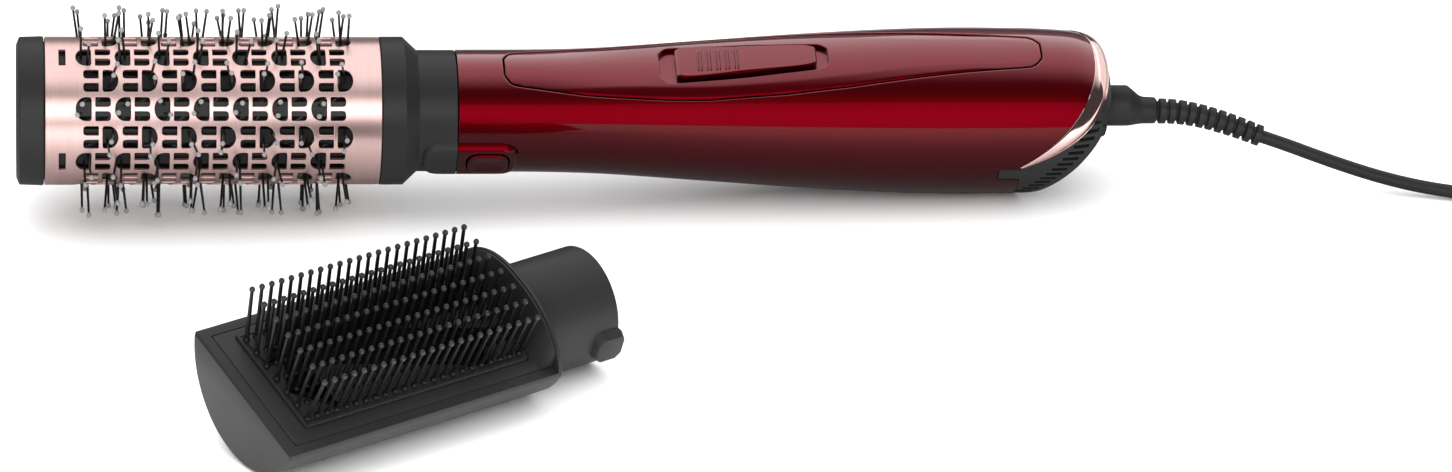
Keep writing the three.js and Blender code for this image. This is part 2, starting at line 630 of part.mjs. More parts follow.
// A straight tapered sleeve with ribs, turned in place and then laid along its slope.
function strainRelief() {
  const start = vector(RELIEF_START);
  const run = vector(RELIEF_END).sub(start);
  const pitch = run.length() / RELIEF_RIBS;
  const profile = [[0, 0]];
  for (let i = 0; i < RELIEF_RIBS; i += 1) {
    const [core, rib] = [3.4 - 0.04 * i, 4.4 - 0.06 * i];
    const x = i * pitch;
    profile.push([x, core], [x + 0.28 * pitch, core], [x + 0.28 * pitch, rib], [x + pitch, rib]);
  }
  profile.push([run.length(), 0]);
  const turn = new THREE.Quaternion().setFromUnitVectors(new THREE.Vector3(1, 0, 0), run.clone().normalize());
  const placed = new THREE.Matrix4().compose(start, turn, new THREE.Vector3(1, 1, 1));
  return turned(profile, CORD_SIDES).transform(placed.toArray());
}

// ---------------------------------------------------------------- assembly
const styler = new THREE.Group();
styler.rotation.x = ROLL;
const tilted = new THREE.Group();
tilted.rotation.y = TILT;
tilted.position.z = AXIS_HEIGHT;
tilted.add(styler);

styler.add(
  piece('upper_shell', upperShell(), redLacquer),
  piece('lower_shell', lowerShell(), redLacquer),
  piece('switch_panel', switchPanel(), redLacquer),
  piece('slide_switch', slideSwitch(), redLacquer),
  piece('trim_ring', trimRing(), roseGold),
  piece('rear_cap', rearCap(), blackPlastic),
  piece('dust_filter', dustFilter(), steel),
  piece('release_button', releaseButton(), redLacquer),
  piece('nozzle_tube', nozzleTube(), blackPlastic),
  piece('heat_shield', tube(24, 80, 17.6, 16.9, 20), mica),
  piece('heater_frame', heaterFrame(), mica),
  piece('heater_coil', heaterCoil(), steel),
  piece('thermostat', rod(78, 82, 6), steel),
  piece('circuit_board', box([112, -8, 13.8], [126, 8, 15.4]), board),
  piece('switch_block', switchBlock(), blackPlastic),
  piece('motor', motorBody(), steel),
  piece('motor_mount', motorMount(), blackPlastic),
  piece('fan', fanRotor(), blackPlastic),
  piece('fan_duct', tube(161, 182, 22.6, 21, 24), blackPlastic),
  piece('swivel_socket', tube(186, 194.5, 12.9, 9.9, 20), blackPlastic),
);

styler.add(
  piece('end_cap', endCap(), blackPlastic),
  piece('barrel_sleeve', barrelSleeve(), roseGold),
  piece('head_collar', headCollar(), blackPlastic),
  piece('bristle_core', bristleCore(), blackPlastic),
);
for (let row = 0; row < ROW_COUNT; row += 1) {
  styler.add(piece(`bristle_strip_${row + 1}`, bristleStrip(row), pinPlastic));
}

styler.add(
  piece('swivel_collar', rod(187, 225.4, 9.35, ROUND), cordRubber),
  piece('cord_boot', cordBoot(), cordRubber),
);

const paddle = new THREE.Group();
paddle.position.copy(PADDLE_PLACE);
paddle.rotation.z = PADDLE_YAW;
const paddleTilted = new THREE.Group();
paddleTilted.rotation.x = PADDLE_ROLL;
paddle.add(paddleTilted);
paddleTilted.add(
  piece('paddle_back', paddleBack(), greyPlastic),
  piece('paddle_neck', paddleNeck(), greyPlastic),
  piece('paddle_face', paddleFace(), greyPlastic),
  piece('paddle_pad', paddlePad(), blackPlastic),
);
for (let row = 0; row < PIN_ROWS; row += 1) {
  paddleTilted.add(piece(`paddle_pin_row_${row + 1}`, paddlePinRow(row), pinPlastic));
}

const cordSet = new THREE.Group();
cordSet.add(
  piece('strain_relief', strainRelief(), cordRubber),
  piece('cord', cut(cordTube(CORD_ROUTE, CORD_RADIUS, 10), coilRing(GAP)), cordRubber),
  piece('cord_coil', coilRing(), cordRubber),
  piece('cord_tail', cut(cordTube(TAIL_ROUTE, CORD_RADIUS, 10), coilRing(GAP)), cordRubber),
  piece('cord_tie', cordTie(), blackPlastic),
);
const plugPiece = piece('plug', plug(), blackPlastic);
plugPiece.position.copy(PLUG_PLACE);
plugPiece.rotation.set(0, PLUG_LIFT, PLUG_HEADING, 'ZYX');
cordSet.add(plugPiece);

// The origin is under the middle of the styler and the paddle head, on the plane they lie on.
const boxOf = (object) => new THREE.Box3().setFromObject(object, true);
const restBox = boxOf(tilted).union(boxOf(paddle));
const middle = restBox.getCenter(new THREE.Vector3());
const group = new THREE.Group();
group.add(tilted, paddle, cordSet);
group.position.set(-middle.x, -middle.y, -restBox.min.z);

export default group;
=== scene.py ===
import json
import math
import random

import bmesh
import bpy
import numpy as np
from mathutils import Matrix, Vector


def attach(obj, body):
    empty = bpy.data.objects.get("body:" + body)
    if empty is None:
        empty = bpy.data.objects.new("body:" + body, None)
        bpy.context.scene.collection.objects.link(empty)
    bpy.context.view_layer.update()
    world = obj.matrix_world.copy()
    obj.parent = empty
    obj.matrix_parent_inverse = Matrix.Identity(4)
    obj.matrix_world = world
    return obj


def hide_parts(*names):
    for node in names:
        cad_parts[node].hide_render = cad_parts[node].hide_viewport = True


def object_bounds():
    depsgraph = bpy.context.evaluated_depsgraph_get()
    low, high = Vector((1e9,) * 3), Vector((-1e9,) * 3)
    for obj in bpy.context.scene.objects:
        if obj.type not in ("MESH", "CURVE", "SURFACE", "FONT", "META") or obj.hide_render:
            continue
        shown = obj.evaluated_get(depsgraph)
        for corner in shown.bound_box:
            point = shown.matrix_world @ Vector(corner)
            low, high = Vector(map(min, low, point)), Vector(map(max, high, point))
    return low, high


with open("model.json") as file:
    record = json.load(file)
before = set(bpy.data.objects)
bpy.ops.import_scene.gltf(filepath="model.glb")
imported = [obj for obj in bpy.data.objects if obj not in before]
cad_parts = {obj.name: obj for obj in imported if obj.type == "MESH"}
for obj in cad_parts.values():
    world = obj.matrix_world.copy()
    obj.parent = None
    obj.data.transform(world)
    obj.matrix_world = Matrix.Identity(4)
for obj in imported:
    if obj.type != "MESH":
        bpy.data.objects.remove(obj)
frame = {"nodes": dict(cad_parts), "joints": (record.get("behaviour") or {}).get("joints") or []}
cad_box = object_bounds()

# A hot-air styling brush with a round brush head fitted, its mains cord, and a spare paddle brush head.
# Shapes are worked out in millimetres, in the styler's or the paddle's own frame, and placed in metres.
MM = 0.001
nodes = frame["nodes"]
joints = {joint["name"]: joint for joint in frame["joints"]}

# ---------------------------------------------------------------- driving dimensions (millimetres)
AXIS_HEIGHT = 34.35
BUTTON_ANGLE = math.radians(102)
HANDLE_OUTLINE = [
    (0, 20.9), (32, 21.1), (50, 21.7), (83.5, 24), (117.5, 26.4), (151.5, 28.2), (172, 28.7), (190, 28.6),
    (203.5, 28.3), (215, 27.2), (220.8, 25), (224.2, 20.6), (226, 12), (226.3, 0),
]
SHELL_WALL = 2.2
SEAM_GAP = 0.12
SIDE_GAP = 0.02
FRONT_RADIUS = 21
LOWER_SHELL_END = 193
UPPER_SHELL_END = 222.2
SIDE_TOP = 31
FAR_BACK = 260
PANEL_OUTLINE = [
    (16, 4), (18.2, 7.9), (43.7, 12), (71.6, 15), (85, 15.8), (111.7, 15.3), (132.4, 13.8), (153, 11.6),
    (172.6, 9.5), (197, 7.3), (200, 3.6),
]
RECESS_OUTLINE = [(69, 5.4), (71.5, 8.8), (98, 8), (124, 6), (126.5, 3.6)]
SWITCH_OUTLINE = [(74.6, 6.2), (76.4, 7.6), (98, 6.6), (121.2, 4.8), (122.6, 3.2)]
SLEEVE_RADIUS = 25.2
FIRST_ROW_ANGLE = math.radians(45.3)
ROW_COUNT = 16
HOLES_PER_ROW = 7
HOLE_PITCH = 13.17
PADDLE_LENGTH = 104
PADDLE_PLACE = (-80, -193.2, 25.4)
PADDLE_YAW = math.radians(30.6)
PADDLE_ROLL = math.radians(21.4)
PAD_CENTRE = 1.2
PAD_HALF_WIDTH = 21.8
PIN_ROW_SPREAD = 18.6
PIN_SPLAY = math.radians(10)
PADDLE_PIN_REACH = 19.4
NECK_AXIS = -6.4
NECK_END = 134
CORD_RADIUS = 2.3

# ---------------------------------------------------------------- frames
swivel = joints["cord_swivel"]
styler_origin = Vector(swivel["pos_m"])
along = Vector(swivel["axis"]).normalized()
button_out = -Vector(joints["release_press"]["axis"]).normalized()
panel_up = Matrix.Rotation(-BUTTON_ANGLE, 3, along) @ button_out


def frame_of(x_axis, z_axis, origin):
    """A placing matrix from two axes and an origin."""
    y_axis = z_axis.cross(x_axis)
    turn = Matrix((x_axis, y_axis, z_axis)).transposed().to_4x4()
    return Matrix.Translation(origin) @ turn


anchor = styler_origin - Vector((0, 0, AXIS_HEIGHT * MM))
STYLER = frame_of(along, panel_up, styler_origin)
RESTING = Matrix.Translation(anchor)
PADDLE = (
    Matrix.Translation(anchor + Vector(PADDLE_PLACE) * MM)
    @ Matrix.Rotation(PADDLE_YAW, 4, "Z")
    @ Matrix.Rotation(PADDLE_ROLL, 4, "X")
)

# ---------------------------------------------------------------- camera
CAMERA_AIM = (94.35, 0, -16.36)
CAMERA_DISTANCE = 2.2
CAMERA_AZIMUTH = math.radians(-6.6)
CAMERA_ELEVATION = math.radians(25.15)
CAMERA_ROLL = math.radians(0.997)
CAMERA_LENS = 157.2


def make_camera():
    """A long lens that looks down at the styler a little from the left."""
    camera = bpy.data.objects.new("camera", bpy.data.cameras.new("camera"))
    bpy.context.scene.collection.objects.link(camera)
    camera.data.lens = CAMERA_LENS
    camera.data.sensor_width = 36
    camera.data.clip_end = 50
    back = Vector((
        math.sin(CAMERA_AZIMUTH) * math.cos(CAMERA_ELEVATION),
        -math.cos(CAMERA_AZIMUTH) * math.cos(CAMERA_ELEVATION),
        math.sin(CAMERA_ELEVATION),
    ))
    aim = anchor + Vector(CAMERA_AIM) * MM
    turn = (-back).to_track_quat("-Z", "Y").to_matrix().to_4x4()
    camera.matrix_world = (
        Matrix.Translation(aim + back * CAMERA_DISTANCE) @ turn @ Matrix.Rotation(CAMERA_ROLL, 4, "Z")
    )
    bpy.context.scene.camera = camera


make_camera()


# ---------------------------------------------------------------- lines
def full_turn(count):
    """Evenly spaced angles round a circle."""
    return np.linspace(0, 2 * math.pi, count, endpoint=False)


def unit(vector):
    return np.asarray(vector, float) / np.linalg.norm(vector)


def unit_rows(vectors):
    return vectors / np.linalg.norm(vectors, axis=1)[:, None]


def distances(line):
    """How far along a line each of its points is."""
    return np.concatenate([[0], np.cumsum(np.linalg.norm(np.diff(line, axis=0), axis=1))])


def rectangle(x_low, y_low, x_high, y_high):
    return [(x_low, y_low), (x_high, y_low), (x_high, y_high), (x_low, y_high)]


def bend(start, corner, end, steps):
    """Points of a curve that leaves one point and reaches another round a corner."""
    shares = np.linspace(0, 1, steps + 1)
    return [(1 - t) ** 2 * start + 2 * t * (1 - t) * corner + t**2 * end for t in shares]


def upright(loop, low, high):
    """Two rings of an outline, at two heights."""
    return [np.column_stack([loop, np.full(len(loop), height)]) for height in (low, high)]


def rod_profile(start, end, radius):
    """Points to turn into a plain rod."""
    return [(start, 0), (start, radius), (end, radius), (end, 0)]


def quarter_turn(radius, steps=4):
    """Pairs of a distance along and a distance in, round a rounded edge at the start of a solid."""
    angles = np.linspace(math.pi / 2, 0, steps + 1)
    return [(radius * (1 - math.sin(t)), radius * (1 - math.cos(t))) for t in angles]


def curve_through(points, steps=12):
    """A smooth centripetal line through the points, as an array."""
    points = np.asarray(points, float)
    ends = [2 * points[0] - points[1], *points, 2 * points[-1] - points[-2]]
    line = []
    for p0, p1, p2, p3 in zip(ends, ends[1:], ends[2:], ends[3:]):
        t0 = 0.0
        t1 = t0 + np.linalg.norm(p1 - p0) ** 0.5
        t2 = t1 + np.linalg.norm(p2 - p1) ** 0.5
        t3 = t2 + np.linalg.norm(p3 - p2) ** 0.5
        for t in np.linspace(t1, t2, steps, endpoint=False):
            a1 = (t1 - t) / (t1 - t0) * p0 + (t - t0) / (t1 - t0) * p1
            a2 = (t2 - t) / (t2 - t1) * p1 + (t - t1) / (t2 - t1) * p2
            a3 = (t3 - t) / (t3 - t2) * p2 + (t - t2) / (t3 - t2) * p3
            b1 = (t2 - t) / (t2 - t0) * a1 + (t - t0) / (t2 - t0) * a2
            b2 = (t3 - t) / (t3 - t1) * a2 + (t - t1) / (t3 - t1) * a3
            line.append((t2 - t) / (t2 - t1) * b1 + (t - t1) / (t2 - t1) * b2)
    line.append(points[-1])
    return np.array(line)


ALMOST_STRAIGHT = math.radians(88)


def rounded(points, radius, closed=False, steps=4):
    """The outline with its corners rounded off."""
    count = len(points)
    corners = [np.asarray(point, float) for point in points]
    line = []
    for i, corner in enumerate(corners):
        if not closed and i in (0, count - 1):
            line.append(corner)
            continue
        before = corners[i - 1] - corner
        after = corners[(i + 1) % count] - corner
        lengths = np.linalg.norm(before), np.linalg.norm(after)
        cosine = np.clip(before @ after / (lengths[0] * lengths[1]), -1, 1)
        half = math.acos(cosine) / 2
        if half > ALMOST_STRAIGHT:
            line.append(corner)
            continue
        reach = min(radius / math.tan(half), 0.45 * lengths[0], 0.45 * lengths[1])
        start = corner + before / lengths[0] * reach
        end = corner + after / lengths[1] * reach
        line += bend(start, corner, end, steps)
    return np.array(line)


def resampled(line, step=None, closed=False, count=None):
    """Points along a line at an even spacing, which is close to a step or makes a set count of parts."""
    line = np.asarray(line, float)
    if closed:
        line = np.vstack([line, line[:1]])
    along_line = distances(line)
    count = count or max(int(along_line[-1] / step), 3)
    places = np.linspace(0, along_line[-1], count + 1)
    if closed:
        places = places[:-1]
    return np.stack([np.interp(places, along_line, column) for column in line.T], axis=1)


def outward(loop):
    """Unit normals of a closed anticlockwise outline, pointing out."""
    ahead = np.roll(loop, -1, axis=0) - np.roll(loop, 1, axis=0)
    return unit_rows(np.stack([ahead[:, 1], -ahead[:, 0]], axis=1))


# ---------------------------------------------------------------- meshes
def piece_from(name, points, faces, place):
    """A new object from points in millimetres, with its faces pointing out."""
    mesh = bpy.data.meshes.new(name)
    mesh.from_pydata((np.asarray(points, float) * MM).tolist(), [], faces)
    work = bmesh.new()
    work.from_mesh(mesh)
    bmesh.ops.remove_doubles(work, verts=work.verts, dist=1e-7)
    bmesh.ops.dissolve_degenerate(work, edges=work.edges, dist=1e-8)
    bmesh.ops.recalc_face_normals(work, faces=work.faces)
    work.to_mesh(mesh)
    work.free()
    piece = bpy.data.objects.new(name, mesh)
    bpy.context.scene.collection.objects.link(piece)
    piece.matrix_world = place
    return piece


def loft_faces(count, sides, closed=False, first=0):
    """Faces between successive rings; the ends are capped unless the series closes on itself."""
    faces = []
    for i in range(count if closed else count - 1):
        a = first + i * sides
        b = first + ((i + 1) % count) * sides
        for j in range(sides):
            k = (j + 1) % sides
            faces.append((a + j, a + k, b + k, b + j))
    if not closed:
        faces.append(tuple(first + j for j in reversed(range(sides))))
        faces.append(tuple(first + (count - 1) * sides + j for j in range(sides)))
    return faces


def loft(name, rings, place=STYLER, closed=False):
    rings = np.asarray(rings, float)
    points = rings.reshape(-1, 3)
    return piece_from(name, points, loft_faces(len(rings), rings.shape[1], closed), place)


def lofts(name, series, place=STYLER):
    """Several lofted solids in one mesh."""
    points = []
    faces = []
    for rings in series:
        rings = np.asarray(rings, float)
        faces += loft_faces(len(rings), rings.shape[1], first=sum(len(p) for p in points))
        points.append(rings.reshape(-1, 3))
    return piece_from(name, np.vstack(points), faces, place)


def turned(name, profile, sides=96, place=STYLER, closed=False, axis_height=0):
    """A solid turned about the x axis from (x, radius) points."""
    angles = full_turn(sides)
    rings = [
        np.stack([np.full(sides, x), radius * np.cos(angles), radius * np.sin(angles) + axis_height], axis=1)
        for x, radius in profile
    ]
    return loft(name, rings, place, closed)


def swept(name, line, radii, place, sides=24):
    """A round solid that follows a line, with a radius at each of its points."""
    ahead = unit_rows(np.gradient(line, axis=0))
    side = np.cross(ahead[0], (0, 0, 1))
    rings = []
    angles = full_turn(sides)
    for centre, direction, radius in zip(line, ahead, radii):
        side = unit(side - direction * (side @ direction))
        top = np.cross(direction, side)
        rings.append(centre + radius * (np.outer(np.cos(angles), side) + np.outer(np.sin(angles), top)))
    return loft(name, rings, place)


def carve(piece, tool, operation="DIFFERENCE"):
    """Cuts, joins or keeps the overlap of two closed pieces, and removes the tool."""
    modifier = piece.modifiers.new("carve", "BOOLEAN")
    modifier.operation = operation
    modifier.solver = "MANIFOLD"
    modifier.object = tool
    bpy.context.view_layer.update()
    evaluated = piece.evaluated_get(bpy.context.evaluated_depsgraph_get())
    mesh = bpy.data.meshes.new_from_object(evaluated)
    piece.modifiers.clear()
    old = piece.data
    piece.data = mesh
    bpy.data.meshes.remove(old)
    bpy.data.objects.remove(tool)
    return piece


TOWARDS_MIDDLE = 0.05
NEAR_SURFACE = 0.03
NEAR_NORMAL = math.radians(24)


def smooth(piece, angle=32):
    """Smooth shading with sharp edges where faces meet at more than an angle."""
    mesh = piece.data
    mesh.polygons.foreach_set("use_smooth", [True] * len(mesh.polygons))
    mesh.set_sharp_from_angle(angle=math.radians(angle))
    return piece


def vectors_of(items, key):
    """One vector for each vertex or face of a mesh, as rows."""
    values = np.zeros(len(items) * 3, np.float32)
    items.foreach_get(key, values)
    return values.reshape(-1, 3)


def whole_numbers_of(items, key):
    values = np.zeros(len(items), np.int32)
    items.foreach_get(key, values)
    return values


def follow_normals(piece, normal_at):
    """Gives the outside of a cut piece the exact normals of the surface that it was cut from.

    The normal of a face's corner is read a little towards the face's middle, so that the two sides of a
    crease keep their own normals.
    """
    mesh = piece.data
    points = vectors_of(mesh.vertices, "co") / MM
    corners = whole_numbers_of(mesh.loops, "vertex_index")
    totals = whole_numbers_of(mesh.polygons, "loop_total")
    face_normals = np.repeat(vectors_of(mesh.polygons, "normal"), totals, axis=0)
    centres = np.repeat(vectors_of(mesh.polygons, "center") / MM, totals, axis=0)
    wanted = normal_at(points[corners] * (1 - TOWARDS_MIDDLE) + centres * TOWARDS_MIDDLE)[0]
    near = np.abs(normal_at(points)[1][corners]) < NEAR_SURFACE
    facing = np.sum(wanted * face_normals, axis=1) > math.cos(NEAR_NORMAL)
    wanted[~(near & facing)] = 0
    mesh.normals_split_custom_set(wanted.tolist())
    return piece


def install(piece, material, body, slot, *replaced):
    """Paints a piece, puts it on its body and lets it stand for its CAD nodes."""
    if material:
        piece.data.materials.clear()
        piece.data.materials.append(material)
    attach(piece, body)
    if replaced:
        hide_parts(*replaced)
    return piece


# ---------------------------------------------------------------- materials
def new_material(name):
    material = bpy.data.materials.new(name)
    material.use_nodes = True
    tree = material.node_tree
    return material, tree, tree.nodes["Principled BSDF"]


def add_node(tree, kind, **settings):
    """A new node, with its inputs or its own properties set by name."""
    node = tree.nodes.new(kind)
    for name, value in settings.items():
        if name in node.inputs:
            node.inputs[name].default_value = value
        else:
            setattr(node, name, value)
    return node


def object_noise(tree, scale, stretch=(1, 1, 1), detail=4.0):
    """Noise in the object's own space, stretched along its axes."""
    place = add_node(tree, "ShaderNodeTexCoord")
    mapping = add_node(tree, "ShaderNodeMapping", Scale=stretch)
    noise = add_node(tree, "ShaderNodeTexNoise", Scale=scale, Detail=detail)
    tree.links.new(place.outputs["Object"], mapping.inputs["Vector"])
    tree.links.new(mapping.outputs["Vector"], noise.inputs["Vector"])
    return noise.outputs["Fac"]


NOISE_RANGE = (0.3, 0.7)


def map_range(from_low, from_high, to_low, to_high):
    """Settings for a node that maps one range on to another."""
    return {"From Min": from_low, "From Max": from_high, "To Min": to_low, "To Max": to_high}


def vary(tree, fac, low, high, socket):
    """Drives a number socket between two values."""
    spread = add_node(tree, "ShaderNodeMapRange", **map_range(*NOISE_RANGE, low, high))
    tree.links.new(fac, spread.inputs["Value"])
    tree.links.new(spread.outputs["Result"], socket)


def tint(tree, fac, dark, light, socket):
    """Drives a colour socket between two colours."""
    ramp = add_node(tree, "ShaderNodeValToRGB")
    for stop, position, colour in zip(ramp.color_ramp.elements, NOISE_RANGE, (dark, light)):
        stop.position = position
        stop.color = (*colour, 1)
    tree.links.new(fac, ramp.inputs["Fac"])
    tree.links.new(ramp.outputs["Color"], socket)


def roughen(tree, shader, fac, strength, distance):
    """Adds a fine bump."""
    bump = add_node(tree, "ShaderNodeBump", Strength=strength, Distance=distance)
    tree.links.new(fac, bump.inputs["Height"])
    tree.links.new(bump.outputs["Normal"], shader.inputs["Normal"])


def set_all(shader, values):
    """Sets what is the same all over a material straight on its shader."""
    for name, value in values.items():
        shader.inputs[name].default_value = value


def red_lacquer():
    """Fine metal flakes in red paint under a clear coat."""
    material, tree, shader = new_material("red_lacquer")
    flakes = object_noise(tree, 2600, detail=2.0)
    clouds = object_noise(tree, 14, detail=2.0)
    tint(tree, flakes, (0.055, 0.0003, 0.0028), (0.075, 0.0006, 0.0045), shader.inputs["Base Color"])
    vary(tree, clouds, 0.34, 0.40, shader.inputs["Roughness"])
    set_all(shader, {"Metallic": 0.95, "Specular IOR Level": 0.2, "Coat Weight": 1.0,
                     "Coat Roughness": 0.02, "Coat IOR": 1.25})
    return material


def brushed_rose_gold():
    """Metal with fine brush marks round the barrel."""
    material, tree, shader = new_material("brushed_rose_gold")
    streaks = object_noise(tree, 40, stretch=(110, 1, 1), detail=6.0)
    clouds = object_noise(tree, 30, detail=2.0)
    tint(tree, streaks, (0.84, 0.56, 0.53), (0.93, 0.66, 0.63), shader.inputs["Base Color"])
    vary(tree, clouds, 0.27, 0.34, shader.inputs["Roughness"])
    roughen(tree, shader, streaks, 0.10, 0.0001)
    set_all(shader, {"Metallic": 0.9})
    return material


def moulded_plastic(name, dark, light, low, high, grain=1500, depth=0.25):
    """Moulded plastic with a fine grain."""
    material, tree, shader = new_material(name)
    fine = object_noise(tree, grain, detail=3.0)
    clouds = object_noise(tree, 25, detail=3.0)
    tint(tree, clouds, dark, light, shader.inputs["Base Color"])
    vary(tree, clouds, low, high, shader.inputs["Roughness"])
    roughen(tree, shader, fine, depth, 0.00005)
    set_all(shader, {"Specular IOR Level": 0.3})
    return material


def metal(name, dark, light, low, high, grain=220, detail=4.0):
    """Bare metal with a little unevenness in its colour and polish."""
    material, tree, shader = new_material(name)
    clouds = object_noise(tree, grain, detail=detail)
    tint(tree, clouds, dark, light, shader.inputs["Base Color"])
    vary(tree, clouds, low, high, shader.inputs["Roughness"])
    set_all(shader, {"Metallic": 1.0})
    return material


def grey(value):
    """A grey with a trace of green."""
    return (value, value * 1.01, value * 1.005)


LACQUER = red_lacquer()
BRUSHED = brushed_rose_gold()
POLISHED = metal("polished_rose_gold", (0.86, 0.58, 0.54), (0.90, 0.62, 0.58), 0.08, 0.12, 300, 3.0)
BLACK = moulded_plastic("black_plastic", grey(0.024), grey(0.030), 0.40, 0.50)
DARK_GREY = moulded_plastic("grey_plastic", grey(0.025), grey(0.031), 0.38, 0.48)
SHAFT = moulded_plastic("bristle_shaft", grey(0.008), grey(0.012), 0.28, 0.38, depth=0.1)
TIP = moulded_plastic("bristle_tip", grey(0.42), grey(0.52), 0.14, 0.22, depth=0.05)
PAD_TIP = moulded_plastic("pin_tip", grey(0.030), grey(0.050), 0.10, 0.16, depth=0.05)
RUBBER = moulded_plastic("cord_rubber", grey(0.022), grey(0.028), 0.42, 0.52)
CORE = moulded_plastic("core_plastic", grey(0.020), grey(0.030), 0.16, 0.26, grain=300)
STEEL = metal("steel", grey(0.46), grey(0.58), 0.22, 0.36)
MICA = moulded_plastic("mica", (0.50, 0.44, 0.32), (0.62, 0.55, 0.42), 0.55, 0.75, grain=400)
BOARD = moulded_plastic("circuit_board", (0.012, 0.10, 0.03), (0.02, 0.14, 0.05), 0.4, 0.6, grain=600)

# ---------------------------------------------------------------- the cord
RELIEF_LINE = [
    (243.4, 0, 26.4), (251.4, -0.3, 25.8), (260.5, -1.1, 24.0), (270.6, -2.5, 20.9), (280.2, -4.2, 17.4),
]
RELIEF_RIBS = 11
RELIEF_CORE = (3.3, 2.4)
RELIEF_RAISED = (4.45, 3.7)
CORD_ROUTE = [
    (280.2, -4.2, 17.4), (289.5, -6, 14.4), (299, -8.4, 11.3), (309.5, -11.4, 8.2), (321, -14.9, 5.4),
    (332, -18.5, 3.6), (343, -22.2, 2.7), (355.5, -26.1, 2.4), (370, -30.6, 2.6),
]
COIL_CENTRE = (396.6, 1.1)
COIL_START = math.radians(-107.6)
COIL_TURNS = 4.552
COIL_OUTER_TURN = 38.5
COIL_INNER_TURN = 16.7
COIL_LAYERS = (3.7, 8.4)
TURN_POINTS = 96
CORD_STEP = 2.5
TAIL_ROUTE = [
    (416, -32.8, 8.4), (424, -28.2, 7.9), (432, -22.6, 6.7), (439, -16, 5.7), (444.5, -9.2, 5.5),
    (447.6, -4.1, 5.7), (448.2, -3.0, 5.8),
]
PLUG_PLACE = (447.9, -3.6, 5.9)
PLUG_HEADING = math.radians(60)
PLUG_LIFT = math.radians(-11)
PLUG_FLATNESS = 0.73
PLUG_SQUARENESS = 2.6
PLUG_PIN_SIDE = 9.5
TIE_HALF_WIDTH = 3.0
TIE_HALF_THICKNESS = 0.45


def coil_points():
    """Two layers of turns, wound inwards and then outwards on top."""
    count = int(2 * COIL_TURNS * TURN_POINTS)
    points = []
    for i in range(count + 1):
        turns = 2 * COIL_TURNS * i / count
        wound = min(turns, 2 * COIL_TURNS - turns) / COIL_TURNS
        radius = COIL_OUTER_TURN + (COIL_INNER_TURN - COIL_OUTER_TURN) * wound
        climb = np.clip((turns - COIL_TURNS) / 0.5 + 0.5, 0, 1)
        height = COIL_LAYERS[0] + (COIL_LAYERS[1] - COIL_LAYERS[0]) * (3 * climb**2 - 2 * climb**3)
        angle = COIL_START + turns * 2 * math.pi
        points.append((
            COIL_CENTRE[0] + radius * math.cos(angle), COIL_CENTRE[1] + radius * math.sin(angle), height,
        ))
    return points


def cord_line():
    """The cord's whole line: from the strain relief to the coil, round it, and on to the plug."""
    turns = coil_points()
    steps = 14
    lead = curve_through([*CORD_ROUTE, turns[0], turns[6]], steps)[:-steps]
    tail = curve_through([turns[-6], turns[-1], *TAIL_ROUTE], steps)[steps:]
    return np.vstack([resampled(lead, CORD_STEP)[:-1], turns, resampled(tail, CORD_STEP)[1:]])


def make_cord():
    """The whole cord as one round curve, and its length in metres."""
    line = cord_line()
    curve = bpy.data.curves.new("mains_cord", "CURVE")
    curve.dimensions = "3D"
    curve.bevel_depth = CORD_RADIUS * MM
    curve.bevel_resolution = 4
    curve.use_fill_caps = True
    spline = curve.splines.new("POLY")
    spline.points.add(len(line) - 1)
    for point, place in zip(spline.points, line * MM):
        point.co = (*place, 1)
    spline.use_smooth = True
    cord = bpy.data.objects.new("mains_cord", curve)
    bpy.context.scene.collection.objects.link(cord)
    cord.matrix_world = RESTING
    curve.materials.append(RUBBER)
    return cord, float(distances(line)[-1]) * MM


def make_strain_relief():
    """A tapered sleeve with ribs whose front and rear edges are rounded."""
    line = resampled(curve_through(RELIEF_LINE), 0.3)
    places = np.linspace(0, 1, len(line))
    rib = (places * RELIEF_RIBS) % 1
    core = np.interp(places, (0, 1), RELIEF_CORE)
    raised = np.interp(places, (0, 1), RELIEF_RAISED)
    shape = np.clip((rib - 0.22) / 0.10, 0, 1) * np.clip((1 - rib) / 0.06, 0, 1)
    radii = core + (raised - core) * np.sin(shape * math.pi / 2)
    radii[0] = 4.0
    return swept("ribbed_strain_relief", line, radii, RESTING, 32)


def plug_ring(x, radius, flatness, sides=48):
    """A cross-section between a circle and a square, flattened."""
    angles = full_turn(sides)
    across, up = np.cos(angles), np.sin(angles)
    power = PLUG_SQUARENESS
    reach = radius * (np.abs(across) ** power + np.abs(up) ** power) ** (-1 / power)
    return np.stack([np.full(sides, x), reach * across, reach * flatness * up], axis=1)


def make_plug():
    """The plug's body with its grooved grip, and its two round pins."""
    place = (
        Matrix.Translation(anchor + Vector(PLUG_PLACE) * MM)
        @ Matrix.Rotation(PLUG_HEADING, 4, "Z")
        @ Matrix.Rotation(PLUG_LIFT, 4, "Y")
    )
    grip = curve_through([(0.2, 3.4), (10, 4.2), (22, 7.6), (30, 12.6), (36, 16.4), (42.6, 17.0)], 6)
    grooves = 0.35 * np.clip(np.sin(grip[:, 0] * 2.2), 0, 1) * (grip[:, 0] < 18)
    profile = [(0.2, 2.4), *zip(grip[:, 0], grip[:, 1] - grooves), (43.6, 16.6), (44, 15.6)]
    rings = [plug_ring(x, radius, PLUG_FLATNESS) for x, radius in profile]
    body = loft("moulded_plug", rings, place)
    series = []
    pin = [(43.5, 2.4), (60.6, 2.4), (62.2, 2.0), (62.9, 1.2)]
    for side in (-PLUG_PIN_SIDE, PLUG_PIN_SIDE):
        series.append([plug_ring(x, radius, 1, 24) + (0, side, 0) for x, radius in pin])
    pins = lofts("plug_pins", series, place)
    return smooth(body), smooth(pins)


